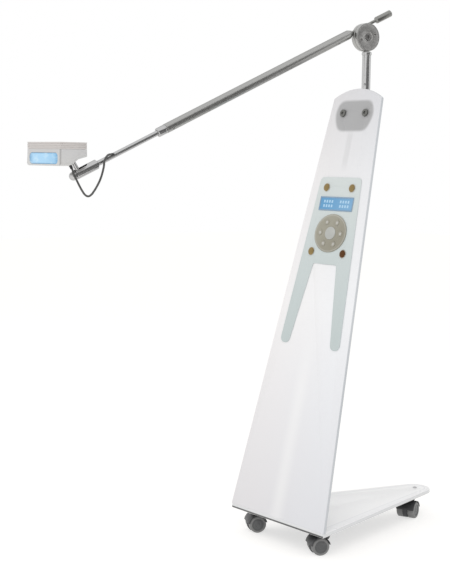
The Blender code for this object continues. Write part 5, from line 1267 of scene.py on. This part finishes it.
knuckle = {
    "body": (
        (0.0075, 0.9133), (0.0094, 0.9133), (0.0099, 0.9138), (0.013, 0.9156), (0.013, 0.9785),
        (0.0126, 0.9797), (0.0119, 0.9801), (0.0095, 0.9801), (0.0095, 0.9604), (0.0045, 0.9604),
        (0.0045, 0.9256), (0.0075, 0.9256), (0.0075, 0.9133),
    ),
    "slotHalf": 0.0065,
    "slot": (0.9406, 0.995),  # start and end along the arm
    "slotDepth": 0.022,
    "capRim": (0.0112, 0.9804),  # radius and place along the arm
    "capHeight": 0.0102,
}


def makeKnuckle():
    piece = spinPiece("slottedKnuckle", knuckle["body"], knucklePlace, 72)
    half, (start, end) = knuckle["slotHalf"], knuckle["slot"]
    line = [(half, end), (-half, end)]
    line += [onCircle(half, angle, (0.0, start + half)) for angle in range(180, 361, 15)]
    carve(piece, platePiece("slotCut", line, -knuckle["slotDepth"], 0.0, knucklePlace @ turnX(90)))
    softEdges(piece, 0.00035)
    dress(piece, armChrome, "rod", "knuckle", slot="chrome")
    radius, rim = knuckle["capRim"]
    dome = [(0.0, rim), (radius - 0.0008, rim), (radius, rim + 0.0007), (radius, rim + 0.0076)]
    dome += ringArc(radius, knuckle["capHeight"], (0.0, rim + 0.0083), 0, 90, 10)
    dress(spinPiece("knuckleCap", dome, knucklePlace, 56), armChrome, "rod", "knuckle_cap", slot="chrome")
    print("knuckle made")


makeKnuckle()


# Ball stud with the plate that carries the cable's gland

ballStud = {
    "ball": 0.0091,
    "ballCut": 0.94,  # the ball's flat foot, as a share of its radius
    "stem": 0.0061,
    "flange": (0.009, 0.0526, 0.0551),  # radius, foot and top
    "tongue": (0.036, 0.039, 0.0085, 0.005),  # foot, top, and radius at its root and tip
    "glandAt": (0.003, -0.0145),
    "gland": (  # from its foot
        (0.0, 0.0), (0.0036, 0.0), (0.0038, 0.001), (0.0038, 0.0022), (0.0034, 0.0026), (0.0034, 0.0032),
        (0.0039, 0.0036), (0.0039, 0.005), (0.0035, 0.0054), (0.0035, 0.006), (0.004, 0.0064),
        (0.0042, 0.0114), (0.0, 0.0114),
    ),
}


def tongueLine(root, tip):
    # round the tip at the gland, then round the root at the stem
    x, y = ballStud["glandAt"]
    aim = math.degrees(math.atan2(y, x))
    spread = math.degrees(math.acos((root - tip) / math.hypot(x, y)))
    line = [onCircle(tip, aim + spread * (i / 5 - 1), (x, y)) for i in range(11)]
    return line + [onCircle(root, aim + spread + (360 - 2 * spread) * i / 18) for i in range(19)]


def makeStud():
    radius, stem, cut = ballStud["ball"], ballStud["stem"], ballStud["ballCut"]
    start, end = -math.degrees(math.asin(cut)), 90 - math.degrees(math.asin(stem / radius))
    section = [(0.0, -radius * cut)] + ringArc(radius, radius, (0.0, 0.0), start, end, 14)
    wide, low, high = ballStud["flange"]
    section += [(stem, low), (wide, low), (wide, high), (0.0, high)]
    ball = spinPiece("ballStud", section, studPlace, 56, 0.0001)
    dress(ball, armChrome, "stud", "ball_stud", slot="chrome")
    low, high, root, tip = ballStud["tongue"]
    tongue = platePiece("glandPlate", tongueLine(root, tip), low, high, studPlace, 0.0003)
    dress(tongue, armChrome, "stud", slot="chrome")
    foot = low - 0.0003 - ballStud["gland"][-1][1]
    gland = spinPiece("headGland", ballStud["gland"], studPlace @ shift(*ballStud["glandAt"], foot), 32)
    dress(gland, blackMoulding, "stud", "head_gland", slot="black_plastic")
    print("ball stud made")


makeStud()


# Light head

lightHead = {
    "case": (0.6, 0.595, 0.595),
    # painted light on the lower case
    "caseLitFoot": (0.65, 0.65, 0.64),
    "cover": (0.69, 0.65, 0.63),
    # painted shade in the cover's grooves
    "coverGrooveShade": (0.44, 0.42, 0.41),
    "floorZ": 0.019,
    "splitZ": 0.0614,
    "topZ": 0.079,
    "grooveShadeStripes": 8,
    "windowZ": 0.0378,
    "windowHalf": (0.0599, 0.0143),
    "windowMiddle": (0.39, 0.67, 0.92),
    "windowEdge": (0.17, 0.4, 0.64),
    "windowGlow": 0.06,
    "frontY": -0.113,
    "seam": (0.3, 0.295, 0.29),
}


def pearlFinish():
    made = newFinish("pearlCase", lightHead["case"], 0.36, Coat_Weight=0.15)
    point = localPoint(made, headPlace)
    x, y, z = parts(point)
    # painted light: the case lighter towards its floor
    low = remap(z, lightHead["splitZ"], lightHead["floorZ"])
    tone = blend(low, lightHead["case"], lightHead["caseLitFoot"])
    flake = noise(point, 2400.0, 1.0)
    tone = speckle(tone, noise(point, 22.0), 0.1, (0.52, 0.52, 0.53))
    tone = speckle(tone, flake, 0.12, (0.8, 0.8, 0.8), 0.4)
    # the seam stands at the right end of the front
    back = headPlace.inverted()
    rightX = max((back @ vertex.co).x for vertex in cadNodes["head_case"].data.vertices)
    frontY = lightHead["frontY"]
    seam = times(remap(y, frontY + 0.0045, frontY + 0.003), remap(x, rightX - 0.004, rightX - 0.0022))
    tone = blend(times(seam, 0.6), tone, lightHead["seam"])
    return finishSurface(made, tone, (0.3, 0.44), flake, 0.08, 0.0001)


def coverFinish():
    made = newFinish("coverPaint", lightHead["cover"], 0.38)
    point = localPoint(made, headPlace)
    _, _, z = parts(point)
    # painted shade: darker bands on the side faces stand for shade in the grooves
    height = remap(z, lightHead["splitZ"], lightHead["topZ"], kind="LINEAR")
    wave = maths("SINE", times(height, 2 * math.pi * lightHead["grooveShadeStripes"]))
    stripe = maths("MULTIPLY_ADD", wave, 0.5, 0.5)
    sideways = remap(facing(made, (0, 0, 1)), 0.6, 0.3)
    shade = times(times(stripe, sideways), 0.55)
    tone = blend(shade, lightHead["cover"], lightHead["coverGrooveShade"])
    grain = noise(point, 1600.0, 2.0)
    tone = speckle(tone, grain, 0.08, (0.66, 0.64, 0.62))
    return finishSurface(made, tone, (0.33, 0.45), grain, 0.1)


def windowFinish():
    made = newFinish("blueWindow", lightHead["windowMiddle"], 0.18, Coat_Weight=0.4)
    x, _, z = parts(localPoint(made, headPlace))
    halfX, halfZ = lightHead["windowHalf"]
    up = minus(z, lightHead["windowZ"])
    far = maths("MAXIMUM", times(absolute(x), 1 / halfX), times(absolute(up), 1 / halfZ))
    blotch = noise(localPoint(made, headPlace, (1.0, 1.0, 1.8)), 45.0)
    tone = blend(remap(far, 0.7, 1.02), lightHead["windowMiddle"], lightHead["windowEdge"])
    tone = speckle(tone, blotch, 0.55, (0.66, 0.86, 0.97), 0.48, 0.72)
    tone = speckle(tone, x, 0.3, lightHead["windowEdge"], -0.01, 0.06)
    feedAll(shaderOf(made), {"Emission Color": tone, "Emission Strength": lightHead["windowGlow"]})
    return finishSurface(made, tone, (0.12, 0.24), blotch, 0.04)


def makeHead():
    dressNode("head_case", "headCase", 0.0004, pearlFinish(), "light_head", "pearl")
    dressNode("head_cover", "headCover", 0.00015, coverFinish(), "light_head", "cover")
    dressNode("light_window", "lightWindow", 0.0003, windowFinish(), "light_head", "blue_light")
    print("light head made")


makeHead()
